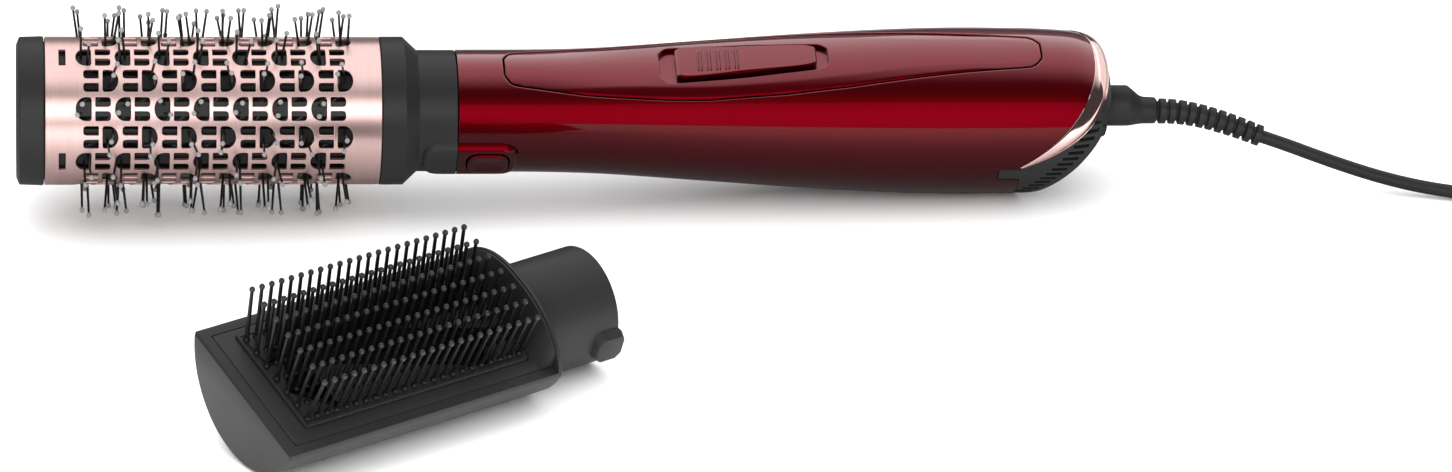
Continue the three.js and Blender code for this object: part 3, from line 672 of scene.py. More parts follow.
def make_tie():
    """A strap round the coil's turns on the side near the styler."""
    inner = COIL_INNER_TURN - CORD_RADIUS
    outer = COIL_OUTER_TURN + CORD_RADIUS
    centre_x = COIL_CENTRE[0]
    low, high = 0.55, COIL_LAYERS[1] + CORD_RADIUS + 0.6
    path = rounded(rectangle(centre_x - outer - 0.5, low, centre_x - inner + 0.7, high), 2.4, True, 6)
    half, thick = TIE_HALF_WIDTH, TIE_HALF_THICKNESS
    section = rounded(rectangle(-half, -thick, half, thick), 0.3, closed=True)
    rings = []
    for (x, z), (out_x, out_z) in zip(path, outward(path)):
        rings.append([(x + out_x * t, COIL_CENTRE[1] + w, z + out_z * t) for w, t in section])
    return smooth(loft("coil_tie", rings, RESTING, closed=True))


cord, cord_length = make_cord()
install(cord, None, "cord_set", "cord_rubber", "cord", "cord_coil", "cord_tail")
install(smooth(make_strain_relief(), 50), RUBBER, "cord_set", "cord_rubber", "strain_relief")
plug_body, plug_pins = make_plug()
install(plug_body, BLACK, "cord_set", "black_plastic", "plug")
install(plug_pins, STEEL, "cord_set", "steel")
tie = install(make_tie(), BLACK, "cord_set", "black_plastic", "cord_tie")

# ---------------------------------------------------------------- the handle's surface
handle_line = curve_through(HANDLE_OUTLINE, 24)
ROUND_END = 215
TINY = 1e-6


def handle_radius(x):
    return np.interp(x, handle_line[:, 0], handle_line[:, 1])


def handle_normals(points):
    """Exact normals of the handle's outside at points near it, and how far each point is from it."""
    radius = np.hypot(points[:, 1], points[:, 2])
    slope = handle_radius(points[:, 0] + 0.5) - handle_radius(points[:, 0] - 0.5)
    safe = np.maximum(radius, TINY)
    normals = unit_rows(np.stack([-slope, points[:, 1] / safe, points[:, 2] / safe], axis=1))
    distance = radius - handle_radius(points[:, 0])
    distance[(points[:, 0] < 0.3) | (points[:, 0] > ROUND_END)] = 1
    return normals, distance


def surface_height(x, y):
    """Height of the handle's outside over the axis plane, at a distance y to the side."""
    return np.sqrt(np.maximum(handle_radius(x) ** 2 - y**2, TINY))


def flat(x, y):
    """The height of a level plane."""
    return np.zeros(len(x))


def leaf_width(outline, x):
    """Half the leaf's width, straight across, at x."""
    line = curve_through(outline, 16)
    half = np.interp(x, line[:, 0], line[:, 1])
    radius = handle_radius(x)
    return radius * np.sin(half / radius)


def leaf_loop(outline, step=0.8, corner=1.6):
    """The leaf's closed outline, anticlockwise."""
    line = rounded(outline, 6, steps=8)
    x, half = line[:, 0], line[:, 1]
    radius = handle_radius(x)
    half = radius * np.sin(half / radius)
    lower = np.stack([x, -half], axis=1)
    upper = np.stack([x, half], axis=1)[::-1]
    corners = rounded(np.vstack([lower, upper]), corner, closed=True, steps=5)
    return resampled(corners, step, closed=True)


def following_stack(loop, height_at, levels):
    """Rings of an outline, each grown by an offset and laid at a height over a surface."""
    normals = outward(loop)
    rings = []
    for offset, height in levels:
        moved = loop + normals * offset
        rings.append(np.column_stack([moved, height_at(moved[:, 0], moved[:, 1]) + height]))
    return rings


def turned_about(points, angle):
    """Points turned about the x axis."""
    points = np.asarray(points, float)
    y, z = points[..., 1], points[..., 2]
    return np.stack([
        points[..., 0], y * math.cos(angle) - z * math.sin(angle), y * math.sin(angle) + z * math.cos(angle),
    ], axis=-1)


def lip(depth, radius, margin, above=20.0, steps=5):
    """Levels of a cutter whose edge is rounded over where it meets the surface."""
    levels = [(margin, -depth)]
    for t in np.linspace(0, math.pi / 2, steps + 1):
        levels.append((margin + radius * (1 - math.cos(t)), -radius * (1 - math.sin(t))))
    levels.append((margin + radius, above))
    return levels


def shell_ring(x, outer, inner, low, high, edge=0.05, count=72):
    """A cross-section of a shell between two angles, with its long edges rounded."""
    bends = quarter_turn(edge)
    loop = [(outer, angle) for angle in np.linspace(low + edge / outer, high - edge / outer, count)]
    loop += [(outer - inset, high - past / outer) for past, inset in bends[-2::-1]]
    loop += [(inner, angle) for angle in np.linspace(high, low, count)]
    loop += [(outer - inset, low + past / outer) for past, inset in bends[:-1]]
    return [(x, -radius * math.sin(angle), radius * math.cos(angle)) for radius, angle in loop]


def half_shell(name, low, high, end):
    """Half of the handle's shell, from its front face to an end, with rounded edges."""
    stations = [(SEAM_GAP + x, inset) for x, inset in quarter_turn(0.35)]
    stations += [(x, 0) for x in np.arange(2, end - 1, 1.5)] + [(end, 0)]
    rings = []
    for x, inset in stations:
        outer = float(handle_radius(x)) - inset
        rings.append(shell_ring(x, outer, outer - SHELL_WALL + inset, low, high))
    return loft(name, rings)


BEYOND = 45


def side_prism(name, outline):
    """A side-view outline in (x, z) drawn out across the whole handle."""
    return loft(name, [[(x, y, z) for x, z in outline] for y in (-BEYOND, BEYOND)])


def trim_front(up):
    return 192.3 + 1.36 * up - 0.0135 * up**2


TRIM_REAR = [(194, 0), (205.5, 6), (215.5, 13), (221.5, 19), (228, 24), (234, 31)]
trim_rear_line = curve_through(TRIM_REAR, 10)


def trim_rear(up):
    return np.interp(up, trim_rear_line[:, 1], trim_rear_line[:, 0])


def rear_face(up):
    return 213.3 + 0.73 * up


# ---------------------------------------------------------------- the bump and the button
BUMP_HALF = 6.5
BUMP_TOP = 21.9
BUMP_START = -10.9
BUMP_END = 19.5


def pill_loop(start, end, half, step=0.6):
    """A straight-sided outline with round ends."""
    return resampled(rounded(rectangle(start, -half, end, half), half * 0.92, True, 10), step, closed=True)


def bump_stack():
    """The flat-topped bump that runs from the collar on to the handle."""
    loop = rounded(rectangle(BUMP_START, -BUMP_HALF, BUMP_END, BUMP_HALF), 5, True, 8)
    levels = [
        (2.2, 17.5), (2.0, 18.6), (1.3, 20.2), (0.7, 21.2), (0.3, 21.6), (-0.1, 21.82), (-0.6, BUMP_TOP),
    ]
    return turned_about(following_stack(resampled(loop, 0.6, closed=True), flat, levels), BUTTON_ANGLE)


def bump_half(name, on_handle):
    """The part of the bump on the handle's side, or on the collar's side, of the gap."""
    low, high = (SEAM_GAP, BEYOND) if on_handle else (-BEYOND, -SEAM_GAP)
    block = rectangle(low, -BEYOND, high, BEYOND)
    return carve(loft(name, bump_stack()), side_prism("bump_limit", block), "INTERSECT")


def button_stack(levels):
    """Rings of the button's outline at heights over the axis."""
    return turned_about(following_stack(pill_loop(3.5, 17.5, 5.2), flat, levels), BUTTON_ANGLE)


def make_button():
    """The release button, a pill with a rounded rim and a shallow dish."""
    levels = [
        (0, 19.4), (0, 22.0), (-0.12, 22.35), (-0.4, 22.6), (-0.9, 22.72), (-1.6, 22.66), (-3.0, 22.45),
        (-4.2, 22.38),
    ]
    return smooth(loft("press_button", button_stack(levels)), 40)


# ---------------------------------------------------------------- the switch panel
PANEL_SINK = 0.3
PANEL_EDGE = 1.1
PANEL_FITS = 0.35
CROWN_RADIUS = 38
CROWN_STARTS = (18, 66)
ABOVE_ALL = 45
STEM_SLOT = (90.5, -1.8, 104, 1.8)
SWITCH_RISE = 0.8
SWITCH_BEVEL = 0.8
RIB_COUNT = 5
RIB_START = 82.6
RIB_PITCH = 3.1
RIB_SHIFT = 0.55
RIB_REACH = 5.2
STEM_X = 98
STEM = (95, -1.4, 101, 1.4)


def eased(x, low, high):
    """Goes smoothly from 0 at one place to 1 at another."""
    t = np.clip((x - low) / (high - low), 0, 1)
    return 3 * t**2 - 2 * t**3


def crease_reach(x):
    """How far from the middle the panel's flatter crown ends."""
    border = 0.5 + 3.5 * eased(x, *CROWN_STARTS) * (1 - 0.35 * eased(x, 150, 192))
    return np.maximum(leaf_width(PANEL_OUTLINE, x) - border, 0.1)


def panel_height(x, y):
    """The panel's top: a crown flatter than the handle, with a border that follows the handle's curve."""
    radius = handle_radius(x)
    reach = crease_reach(x)
    inside = np.minimum(np.abs(y), reach)
    cylinder = np.sqrt(np.maximum(radius**2 - y**2, 1))
    crease = np.sqrt(np.maximum(radius**2 - reach**2, 1))
    crown = crease + (reach**2 - inside**2) / (2 * CROWN_RADIUS)
    fade = eased(x, *CROWN_STARTS)
    top = np.where(np.abs(y) < reach, cylinder + fade * (crown - cylinder), cylinder)
    to_edge = leaf_width(PANEL_OUTLINE, x) - np.abs(y)
    rolled = np.clip(1 - to_edge / PANEL_EDGE, 0, 1.4)
    return top - PANEL_SINK - PANEL_EDGE * 0.45 * rolled**2


def cut_top(solid, height_at, xs, rows_at):
    """Trims a solid to a curved top, drawn as rows of points across each x."""
    rings = []
    for x in xs:
        y = rows_at(x)
        row = np.column_stack([np.full(len(y), x), y, height_at(np.full(len(y), x), y)])
        cover = row.copy()
        cover[:, 2] = ABOVE_ALL
        rings.append(np.vstack([row, cover[::-1]]))
    return carve(solid, loft("curved_top", rings))


def mirrored(half):
    """Places on one side of the middle, and the same on the other side."""
    half = np.asarray(half)
    return np.concatenate([-half[::-1], half])


def panel_normals(points):
    """Exact normals of the panel's top at points near it, and how far each point is above it."""
    x, y = points[:, 0], points[:, 1]
    step = 0.05
    slope_x = (panel_height(x + step, y) - panel_height(x - step, y)) / (2 * step)
    slope_y = (panel_height(x, y + step) - panel_height(x, y - step)) / (2 * step)
    normals = unit_rows(np.stack([-slope_x, -slope_y, np.ones(len(points))], axis=1))
    return normals, points[:, 2] - panel_height(x, y)


def make_panel():
    """A leaf-shaped insert with a rounded edge, its switch recess and the stem's slot."""
    x_low = PANEL_OUTLINE[0][0] + 0.25
    x_high = PANEL_OUTLINE[-1][0] - 0.25
    levels = [(-PANEL_FITS, -2.4), (-PANEL_FITS, -0.5), (-PANEL_FITS, 6)]
    solid = loft("switch_panel_insert", following_stack(leaf_loop(PANEL_OUTLINE, 0.9), panel_height, levels))

    def rows_at(x):
        held = np.clip(x, x_low, x_high)
        edge = float(leaf_width(PANEL_OUTLINE, held))
        reach = float(crease_reach(held))
        return mirrored([*np.linspace(reach * 0.02, reach, 16), *np.linspace(reach, edge + 0.9, 12)[1:]])

    cut_top(solid, panel_height, np.linspace(x_low - 1.5, x_high + 1.5, 260), rows_at)
    recess = following_stack(leaf_loop(RECESS_OUTLINE, 0.7), panel_height, lip(1.9, 0.45, 0.0))
    carve(solid, loft("switch_recess", recess))
    slot = resampled(rounded(rectangle(*STEM_SLOT), 1.2, True), 0.5, True)
    carve(solid, loft("stem_slot", upright(slot, 10, 40)))
    return follow_normals(smooth(solid, 24), panel_normals)


def switch_top(x, y):
    """The switch's top, before its edge is bevelled."""
    return panel_height(x, np.abs(y) * 0.5) + SWITCH_RISE


def bevelled_switch_top(x, y):
    """The switch's top with its edge brought down all round."""
    x_low, x_high = SWITCH_OUTLINE[0][0], SWITCH_OUTLINE[-1][0]
    to_side = leaf_width(SWITCH_OUTLINE, np.clip(x, x_low + 0.4, x_high - 0.4)) - np.abs(y)
    to_end = np.minimum(x - x_low - 0.1, x_high - 0.1 - x)
    bevel = np.clip(1 - np.minimum(to_side, to_end) / SWITCH_BEVEL, 0, 1.5)
    return switch_top(x, y) - 0.55 * bevel


def switch_rib(x):
    """A fine rib across the switch, which sinks into it at both ends."""
    rings = []
    for side in np.linspace(-RIB_REACH, RIB_REACH, 24):
        crest = np.clip((RIB_REACH - np.abs(side)) / 1.2, 0, 1) ** 0.5
        height = float(switch_top(x, side))
        section = [(-0.32, -0.4), (0.32, -0.4), (0.26, 0.3 * crest), (0, 0.52 * crest), (-0.26, 0.3 * crest)]
        rings.append([(x + ahead, side, height + rise) for ahead, rise in section])
    return rings


def make_switch():
    """The slide switch: a leaf-shaped cap with a chamfered edge and five pairs of fine ribs."""
    x_low, x_high = SWITCH_OUTLINE[0][0], SWITCH_OUTLINE[-1][0]
    loop = leaf_loop(SWITCH_OUTLINE, 0.5, 0.7)
    cap = loft("slide_switch_cap", following_stack(loop, switch_top, [(0, -2.3), (0, 3)]))
    xs = [x_low - 1, *np.linspace(x_low, x_low + 1.2, 7), *np.linspace(x_low + 1.5, x_high - 1.5, 60),
          *np.linspace(x_high - 1.2, x_high, 7), x_high + 1]

    def rows_at(x):
        edge = float(leaf_width(SWITCH_OUTLINE, np.clip(x, x_low, x_high)))
        bevel = np.linspace(edge - SWITCH_BEVEL, edge + SWITCH_BEVEL, 7)
        return mirrored([*np.linspace(0.05, edge - SWITCH_BEVEL, 8), *bevel[1:]])

    cut_top(cap, bevelled_switch_top, xs, rows_at)
    ribs = [switch_rib(RIB_START + RIB_PITCH * i + shift)
            for i in range(RIB_COUNT) for shift in (-RIB_SHIFT, RIB_SHIFT)]
    carve(cap, lofts("switch_ribs", ribs), "UNION")
    stem_top = float(handle_radius(STEM_X)) - 1
    carve(cap, loft("stem", upright(rectangle(*STEM), stem_top - 5.2, stem_top - 0.4)), "UNION")
    return smooth(cap, 30)


# ---------------------------------------------------------------- the handle's shells, trim and rear cap
def make_upper_shell():
    """The upper half, cut off along the trim ring, with the panel's opening and room for the bump."""
    quarter = math.pi / 2 - SIDE_GAP / FRONT_RADIUS
    shell = half_shell("upper_handle_shell", -quarter, quarter, UPPER_SHELL_END)
    ups = np.linspace(-4, SIDE_TOP, 60)
    front = [(float(trim_front(max(up, 0))) - 0.1, up) for up in ups]
    carve(shell, side_prism("behind_trim", [*front, (FAR_BACK, SIDE_TOP), (FAR_BACK, -4)]))
    opening = following_stack(leaf_loop(PANEL_OUTLINE, 0.9), surface_height, lip(7, 0.75, 0.15))
    carve(shell, loft("panel_opening", opening))
    room = turned_about(upright(pill_loop(-6, 21.5, 8.4), 15, 30), BUTTON_ANGLE)
    carve(shell, loft("bump_room", room))
    return follow_normals(smooth(shell), handle_normals)


def make_lower_shell():
    """The lower half with the bump, the button's hole and the notches for the rear cap's latches."""
    quarter = math.pi / 2 + SIDE_GAP / FRONT_RADIUS
    shell = half_shell("lower_handle_shell", quarter, 2 * math.pi - quarter, LOWER_SHELL_END - SEAM_GAP)
    carve(shell, bump_half("handle_bump", True), "UNION")
    levels = [(0.4, 14), (0.4, 21.4), (0.45, 21.7), (0.65, 21.86), (0.95, BUMP_TOP + 0.02), (0.95, 30)]
    hole = button_stack(levels)
    carve(shell, loft("button_hole", hole))
    for side in (-1, 1):
        carve(shell, loft("latch_notch", latch_stack(side, LATCH_NOTCH)))
    return follow_normals(smooth(shell), handle_normals)


LATCH_ANGLE = math.radians(97.5)
LATCH = (185.5, -2.4, 196, 2.4)
LATCH_TAB = [(0, -2.0), (0, -0.25), (-0.1, -0.08), (-0.35, 0)]
LATCH_NOTCH = [(0.25, -3.4), (0.25, 3)]


def latch_stack(side, levels):
    """A latch of the rear cap, or its notch, on one side of the handle."""
    loop = resampled(rounded(rectangle(*LATCH), 0.5, True, 3), 0.5, True)
    return turned_about(following_stack(loop, surface_height, levels), side * LATCH_ANGLE)


outline_steps = distances(handle_line)
outline_ahead = unit_rows(np.gradient(handle_line, axis=0))


def crossing(side, edge):
    """Where along the handle's outline a side-view edge crosses it, at an angle round the axis."""
    heights = handle_line[:, 1] * math.cos(side)
    past = handle_line[:, 0] - np.array([float(edge(max(up, 0))) for up in heights])
    index = int(np.argmax(past > 0))
    share = past[index - 1] / (past[index - 1] - past[index])
    return outline_steps[index - 1] + share * (outline_steps[index] - outline_steps[index - 1])


# distances from the band's front edge, and from its rear edge, with heights over the handle
TRIM_FRONT_PROFILE = [(0, -0.7), (0, 0.0), (0.1, 0.22), (0.35, 0.34), (0.8, 0.38), (1.6, 0.42), (2.8, 0.44)]
TRIM_MIDDLE_RISE = 0.46
TRIM_REAR_PROFILE = [
    (-2.6, 0.42), (-1.7, 0.34), (-1.35, 0.2), (-1.2, -0.15), (-1.05, 0.2), (-0.8, 0.32), (-0.3, 0.3),
    (-0.05, 0.1), (0.0, -0.1), (0.0, -0.7),
]
TRIM_FULL_WIDTH = 6.4


def above_outline(place, rise, side):
    """A point at a height over the handle's outline, at an angle round the axis."""
    x, radius = (np.interp(place, outline_steps, column) for column in handle_line.T)
    ahead_x, ahead_r = (np.interp(place, outline_steps, column) for column in outline_ahead.T)
    x, radius = x - ahead_r * rise, radius + ahead_x * rise
    return (x, -radius * math.sin(side), radius * math.cos(side))


def make_trim():
    """The polished band between the shells and the rear cap, with a groove near its rear edge."""
    rings = []
    side_end = math.pi / 2 - 0.006
    for side in np.linspace(-side_end, side_end, 161):
        start = crossing(side, trim_front)
        end = crossing(side, trim_rear) - 0.05
        scale = min(1.0, (end - start) / TRIM_FULL_WIDTH)
        places = [(start + distance * scale, rise) for distance, rise in TRIM_FRONT_PROFILE]
        places.append(((start + end) / 2, TRIM_MIDDLE_RISE))
        places += [(end + distance * scale, rise) for distance, rise in TRIM_REAR_PROFILE]
        rings.append([above_outline(place, rise, side) for place, rise in places])
    return smooth(loft("polished_trim_band", rings), 40)


def rear_profile(inset, start):
    """The handle's outline behind a start, moved in by an inset, closed at the axis."""
    line = [(x, r) for x, r in handle_line if x > start]
    moved = []
    for (x, r), (ahead_x, ahead_r) in zip(line, outline_ahead[-len(line):]):
        moved.append((x + ahead_r * inset, max(r - ahead_x * inset, 0)))
    return [(start, 0), (start, float(handle_radius(start)) - inset), *moved[:-1], (moved[-1][0], 0)]


LOUVRE_COUNT = 18
LOUVRE_START = -24.4
LOUVRE_PITCH = 2.3
LOUVRE_HALF = 0.62
LOUVRE_RIM = 26.6
LOUVRE_INNER = 13
CORD_HOLE_RADIUS = 9.9
CAP_WALL = 2.28
CAP_FACE_WALL = 3.2


def louvre(x_low, x_high, y_ends, up):
    """One slot's cutter, across the rear cap at a height."""
    outline = rectangle(x_low, up - LOUVRE_HALF, x_high, up + LOUVRE_HALF)
    return [[(x, y, z) for x, z in outline] for y in sorted(y_ends)]


def louvres():
    """Fine slots across the rear face, which go on over its edge, in two columns each side."""
    blocks = []
    for i in range(LOUVRE_COUNT):
        up = LOUVRE_START + i * LOUVRE_PITCH
        face = rear_face(up)
        rim = math.sqrt(max(LOUVRE_RIM**2 - up**2, 9))
        inner = math.sqrt(LOUVRE_INNER**2 - up**2) if abs(up) < LOUVRE_INNER else 0.8
        for side in (-1, 1):
            if rim - inner > 3.3:
                blocks.append(louvre(face - 1.5, face + 6, (side * inner, side * (rim - 2.2)), up))
            blocks.append(louvre(face - 8.5, face - 3.0, (side * (rim - 1.6), side * BEYOND), up))
    return blocks


def behind_face(offset):
    """A side-view outline of everything behind the slanted rear face."""
    return [(rear_face(-60) - offset, -60), (330, -60), (330, 60), (rear_face(60) - offset, 60)]


def make_rear_cap():
    """The black rear cap with its slanted face, fine louvres, latch tabs and the cord's hole."""
    cap = turned("rear_cover", rear_profile(SEAM_GAP, 150))
    carve(cap, side_prism("behind_face", behind_face(0)))
    hollow = turned("cap_hollow", rear_profile(SEAM_GAP + CAP_WALL, 149))
    carve(cap, carve(hollow, side_prism("behind_wall", behind_face(CAP_FACE_WALL))))
    upper = [(float(trim_rear(up)) + 0.1, up) for up in np.linspace(0.0, SIDE_TOP, 50)]
    front = [(LOWER_SHELL_END + SEAM_GAP, -60), (LOWER_SHELL_END + SEAM_GAP, -0.01), *upper]
    carve(cap, side_prism("before_cap", [(100, -60), *front, (100, SIDE_TOP)]))
    for side in (-1, 1):
        carve(cap, loft("latch_tab", latch_stack(side, LATCH_TAB)), "UNION")
    carve(cap, lofts("louvre_cuts", louvres()))
    carve(cap, turned("cord_hole", rod_profile(170, FAR_BACK, CORD_HOLE_RADIUS), 64))
    return smooth(cap, 30)


BOOT_START = 225.7
# how far along, and how far up, down and to the sides the boot reaches there
BOOT_PROFILE = [
    (0, 8.0, 4.2, 6.2), (0.1, 8.8, 4.8, 6.8), (0.7, 9.1, 5.0, 7.0), (6.9, 9.1, 5.0, 7.0),
    (7.6, 8.9, 5.0, 6.9), (9.2, 7.6, 4.9, 6.2), (11.1, 5.9, 4.75, 5.3), (12.1, 5.2, 4.65, 4.9),
    (13.3, 4.8, 4.6, 4.7), (17.1, 4.6, 4.6, 4.6), (17.6, 4.3, 4.3, 4.3), (17.8, 3.6, 3.6, 3.6),
]


def make_cord_exit():
    """The swivel collar, and the boot with its hump on top."""
    collar = turned("swivel_barrel", rounded(rod_profile(187, 225.4, 9.1), 0.8), 64)
    rings = []
    hump = unit(np.array(STYLER.to_3x3().inverted() @ Vector((0, 0, 1)))[1:])
    angles = full_turn(48)
    for x, top, bottom, side in BOOT_PROFILE:
        vertical = np.cos(angles)
        reach_up = np.where(vertical > 0, top, bottom) * vertical
        reach_side = side * np.sin(angles)
        y = reach_up * hump[0] - reach_side * hump[1]
        z = reach_up * hump[1] + reach_side * hump[0]
        rings.append(np.column_stack([np.full(len(angles), BOOT_START + x), y, z]))
    return smooth(collar), smooth(loft("humped_boot", rings), 50)


# ---------------------------------------------------------------- the round brush head
ROUND_HOLE_STARTS = (-126.5, -117.5)
SLOT_STARTS = (-120.0, -124.0)
SLOT_HALF_LENGTH = 2.55
END_SLOT = (-134.75, -3.9, -132.45, 3.9)
HOLE_LEVELS = [(0, -3), (0, -0.16), (0.05, -0.05), (0.16, 0), (0.16, 2)]
SLEEVE_START = -139.4
SLEEVE_END = -26.1
CORE_RIDGES = 14
CORE_TWIST = 0.045
STRIP = (-131.2, -2.4, -31.6, 2.4)
STRIP_HEIGHTS = (19.0, 23.4)
OFF_AXIS = (0.31, 0.87, 0.38)


def round_hole_loop(flip):
    """A D-shaped hole: one end flat and the other round."""
    half_x, half_y = 2.6, 4.0
    arc = [(-half_x + 3.1 * (1 - math.sin(t)), half_y * math.cos(t)) for t in np.linspace(0, math.pi, 15)]
    corners = rounded([(half_x, -half_y), (half_x, half_y), *arc], 0.35, True, 2)
    loop = resampled(corners, 0.9, True)
    return loop[::-1] * (-1, 1) if flip else loop


def slot_loop(side, flip):
    """One of a pair of slots, with its outer corners rounded."""
    plain = np.array(rectangle(-SLOT_HALF_LENGTH, side * 0.8, SLOT_HALF_LENGTH, side * 4.0))
    if side < 0:
        plain = plain[::-1]
    loop = []
    for index, corner in enumerate(plain):
        reach = 1.1 if corner[0] > 0 else 0.3
        start = corner + unit(plain[index - 1] - corner) * reach
        end = corner + unit(plain[(index + 1) % 4] - corner) * reach
        loop += bend(start, corner, end, 3)
    loop = np.array(loop)
    return loop[::-1] * (-1, 1) if flip else loop


def row_angle(row):
    return FIRST_ROW_ANGLE + row * 2 * math.pi / ROW_COUNT


def sleeve_height(x, y):
    return np.sqrt(SLEEVE_RADIUS**2 - y**2)


def sleeve_cutters():
    """Every hole's cutter, with its edge rounded over at the sleeve's surface."""
    cutters = []
    for row in range(ROW_COUNT):
        odd = row % 2
        loops = []
        for i in range(HOLES_PER_ROW):
            loops.append(round_hole_loop(odd) + (ROUND_HOLE_STARTS[odd] + i * HOLE_PITCH, 0))
            loops += [slot_loop(side, odd) + (SLOT_STARTS[odd] + i * HOLE_PITCH, 0) for side in (-1, 1)]
        if row % 4 == 2:
            loops.append(rounded(rectangle(*END_SLOT), 0.2, True, 2))
        cutters += [turned_about(following_stack(loop, sleeve_height, HOLE_LEVELS), row_angle(row))
                    for loop in loops]
    return cutters


def sleeve_normals(points):
    """Exact normals of the sleeve's outside at points near it, and how far each point is from it."""
    radius = np.maximum(np.hypot(points[:, 1], points[:, 2]), TINY)
    normals = np.stack([np.zeros(len(points)), points[:, 1] / radius, points[:, 2] / radius], axis=1)
    return normals, radius - SLEEVE_RADIUS


def make_sleeve():
    """The perforated barrel, a tube with its outer rims broken."""
    outer, inner = SLEEVE_RADIUS, SLEEVE_RADIUS - 1.0
    profile = [(SLEEVE_START, inner), (SLEEVE_START, outer - 0.2), (SLEEVE_START + 0.2, outer)]
    profile += [(x, outer) for x in np.arange(-137, -27, 2.2)]
    profile += [(SLEEVE_END - 0.2, outer), (SLEEVE_END, outer - 0.2), (SLEEVE_END, inner)]
    sleeve = turned("perforated_sleeve", profile, 256, closed=True)
    carve(sleeve, lofts("sleeve_holes", sleeve_cutters()))
    return follow_normals(smooth(sleeve), sleeve_normals)


def make_end_cap():
    outside = rounded([(-148.9, 0), (-148.9, 22.6), (-147.9, 25.1), (-139.65, 25.35), (-139.65, 23.2),
                       (-131.6, 23.2), (-131.6, 21), (-146, 21), (-146, 0)], 0.7, steps=5)
    return smooth(turned("brush_end_cap", outside, 128), 40)


def make_collar():
    """The neck between the brush and the handle, with the bump's front half."""
    outline = rounded([
        (-29, 21), (-29, 23.2), (-25.9, 23.2), (-25.9, 25.3), (-17.9, 25.3), (-13.1, 20.75),
        (-SEAM_GAP, 20.75), (-SEAM_GAP, 17.9), (-16, 17.9), (-20, 21)], 0.6, True, 5)
    collar = turned("neck_collar", outline, 160, closed=True)
    carve(collar, bump_half("collar_bump", False), "UNION")
    return smooth(collar, 35)


def make_core():
    """The dark barrel inside the sleeve, with a slow twist of ridges along it."""
    rings = []
    angles = full_turn(168)
    for x in np.linspace(-131, -30, 104):
        radius = 19.6 + 0.9 * np.sin(CORE_RIDGES * (angles + x * CORE_TWIST))
        rings.append(np.column_stack([np.full(168, x), radius * np.cos(angles), radius * np.sin(angles)]))
    return smooth(loft("ridged_core", rings), 60)


def ring_round(ahead, sides):
    """A unit circle of points, square to a direction."""
    ahead = unit(ahead)
    side = unit(np.cross(ahead, OFF_AXIS))
    angles = full_turn(sides)
    return np.outer(np.cos(angles), side) + np.outer(np.sin(angles), np.cross(ahead, side))


def pin_rings(foot, tip, radius, sides=6):
    """A thin tapered pin between two points."""
    ring = ring_round(tip - foot, sides) * radius
    return [foot + ring, (foot + tip) / 2 + ring * 0.92, tip + ring * 0.8]


def ball_rings(centre, ahead, radius, sides=10, steps=7):
    """A ball, a little long along its pin."""
    ring = ring_round(ahead, sides) * radius
    reach = unit(ahead) * radius * 1.1
    turns = np.linspace(math.pi - 0.15, 0.15, steps)
    return [centre + reach * math.cos(t) + ring * math.sin(t) for t in turns]


def two_tone(name, first_series, second_series, second_material, place):
    """Two sets of lofted solids in one mesh, the second with its own material."""
    piece = lofts(name, [*first_series, *second_series], place)
    piece.data.materials.append(SHAFT)
    piece.data.materials.append(second_material)
    first_faces = sum((len(rings) - 1) * len(rings[0]) + 2 for rings in first_series)
    marks = [int(index >= first_faces) for index in range(len(piece.data.polygons))]
    piece.data.polygons.foreach_set("material_index", marks)
    return smooth(piece, 50)


def make_bristle_strip(row, chance):
    """A bar inside the sleeve with two leaning ball-tipped pins under each round hole."""
    shafts = [upright(rectangle(*STRIP), *STRIP_HEIGHTS)]
    balls = []
    first = ROUND_HOLE_STARTS[row % 2]
    for i in range(HOLES_PER_ROW):
        for side in (-1, 1):
            foot = np.array([first + i * HOLE_PITCH + chance.uniform(-1.4, 1.4), side * 1.2, 20.0])
            lean = np.array([chance.uniform(-2.4, 2.4), side * chance.uniform(0.1, 1.5), 0])
            tip = foot + lean + (0, 0, chance.uniform(13.2, 15.1))
            shafts.append(pin_rings(foot, tip, 0.5))
            balls.append(ball_rings(tip + (tip - foot) * 0.035, tip - foot, 0.88))
    shafts = [turned_about(rings, row_angle(row)) for rings in shafts]
    balls = [turned_about(rings, row_angle(row)) for rings in balls]
    return two_tone(f"bristle_row_{row + 1}", shafts, balls, TIP, STYLER)


# ---------------------------------------------------------------- the paddle head
ARC_RADIUS = 30.5
ARC_CENTRE = 5.6
ARCH_HALF = 29.4


def paddle_ring(x, inset, count=72):
    """The paddle's D-shaped cross-section, moved in by an inset."""
    radius = ARC_RADIUS - inset
    top = -inset
    edge = math.asin((ARC_CENTRE - top) / radius)
    arc = [(radius * math.cos(t), ARC_CENTRE + radius * math.sin(t))
           for t in np.linspace(math.pi + edge, 2 * math.pi - edge, count)]
    loop = rounded([*arc, (15, top), (-15, top)], 0.9, True, 4)
    loop = resampled(loop, 1.4, True)[:120]
    return [(x, y, z) for y, z in loop]


def arch_height(y):
    """How high the wall at the neck's end stands over the face."""
    return 15.3 * np.maximum(1 - (np.abs(y) / ARCH_HALF) ** 2.4, 0) ** 0.75


def arch_ring(x, inset):
    """The outline of the arched wall at one station, moved in by an inset."""
    ys = np.linspace(-ARCH_HALF + inset, ARCH_HALF - inset, 61)
    crest = [(x, y, max(float(arch_height(y)) - inset, -0.4)) for y in ys]
    foot = ARCH_HALF - inset - 3
    return [*crest, (x, foot, -4), (x, -foot, -4)]


def paddle_solid():
    """The whole paddle as one solid, with its bottom end's edge rounded off."""
    stations = quarter_turn(0.9)
    stations += [(x, 0) for x in (30, 70, PADDLE_LENGTH - 0.5)] + [(PADDLE_LENGTH, 0.5)]
    rings = [resampled(paddle_ring(x, inset), closed=True, count=128) for x, inset in stations]
    return loft("paddle_shell", rings, PADDLE)


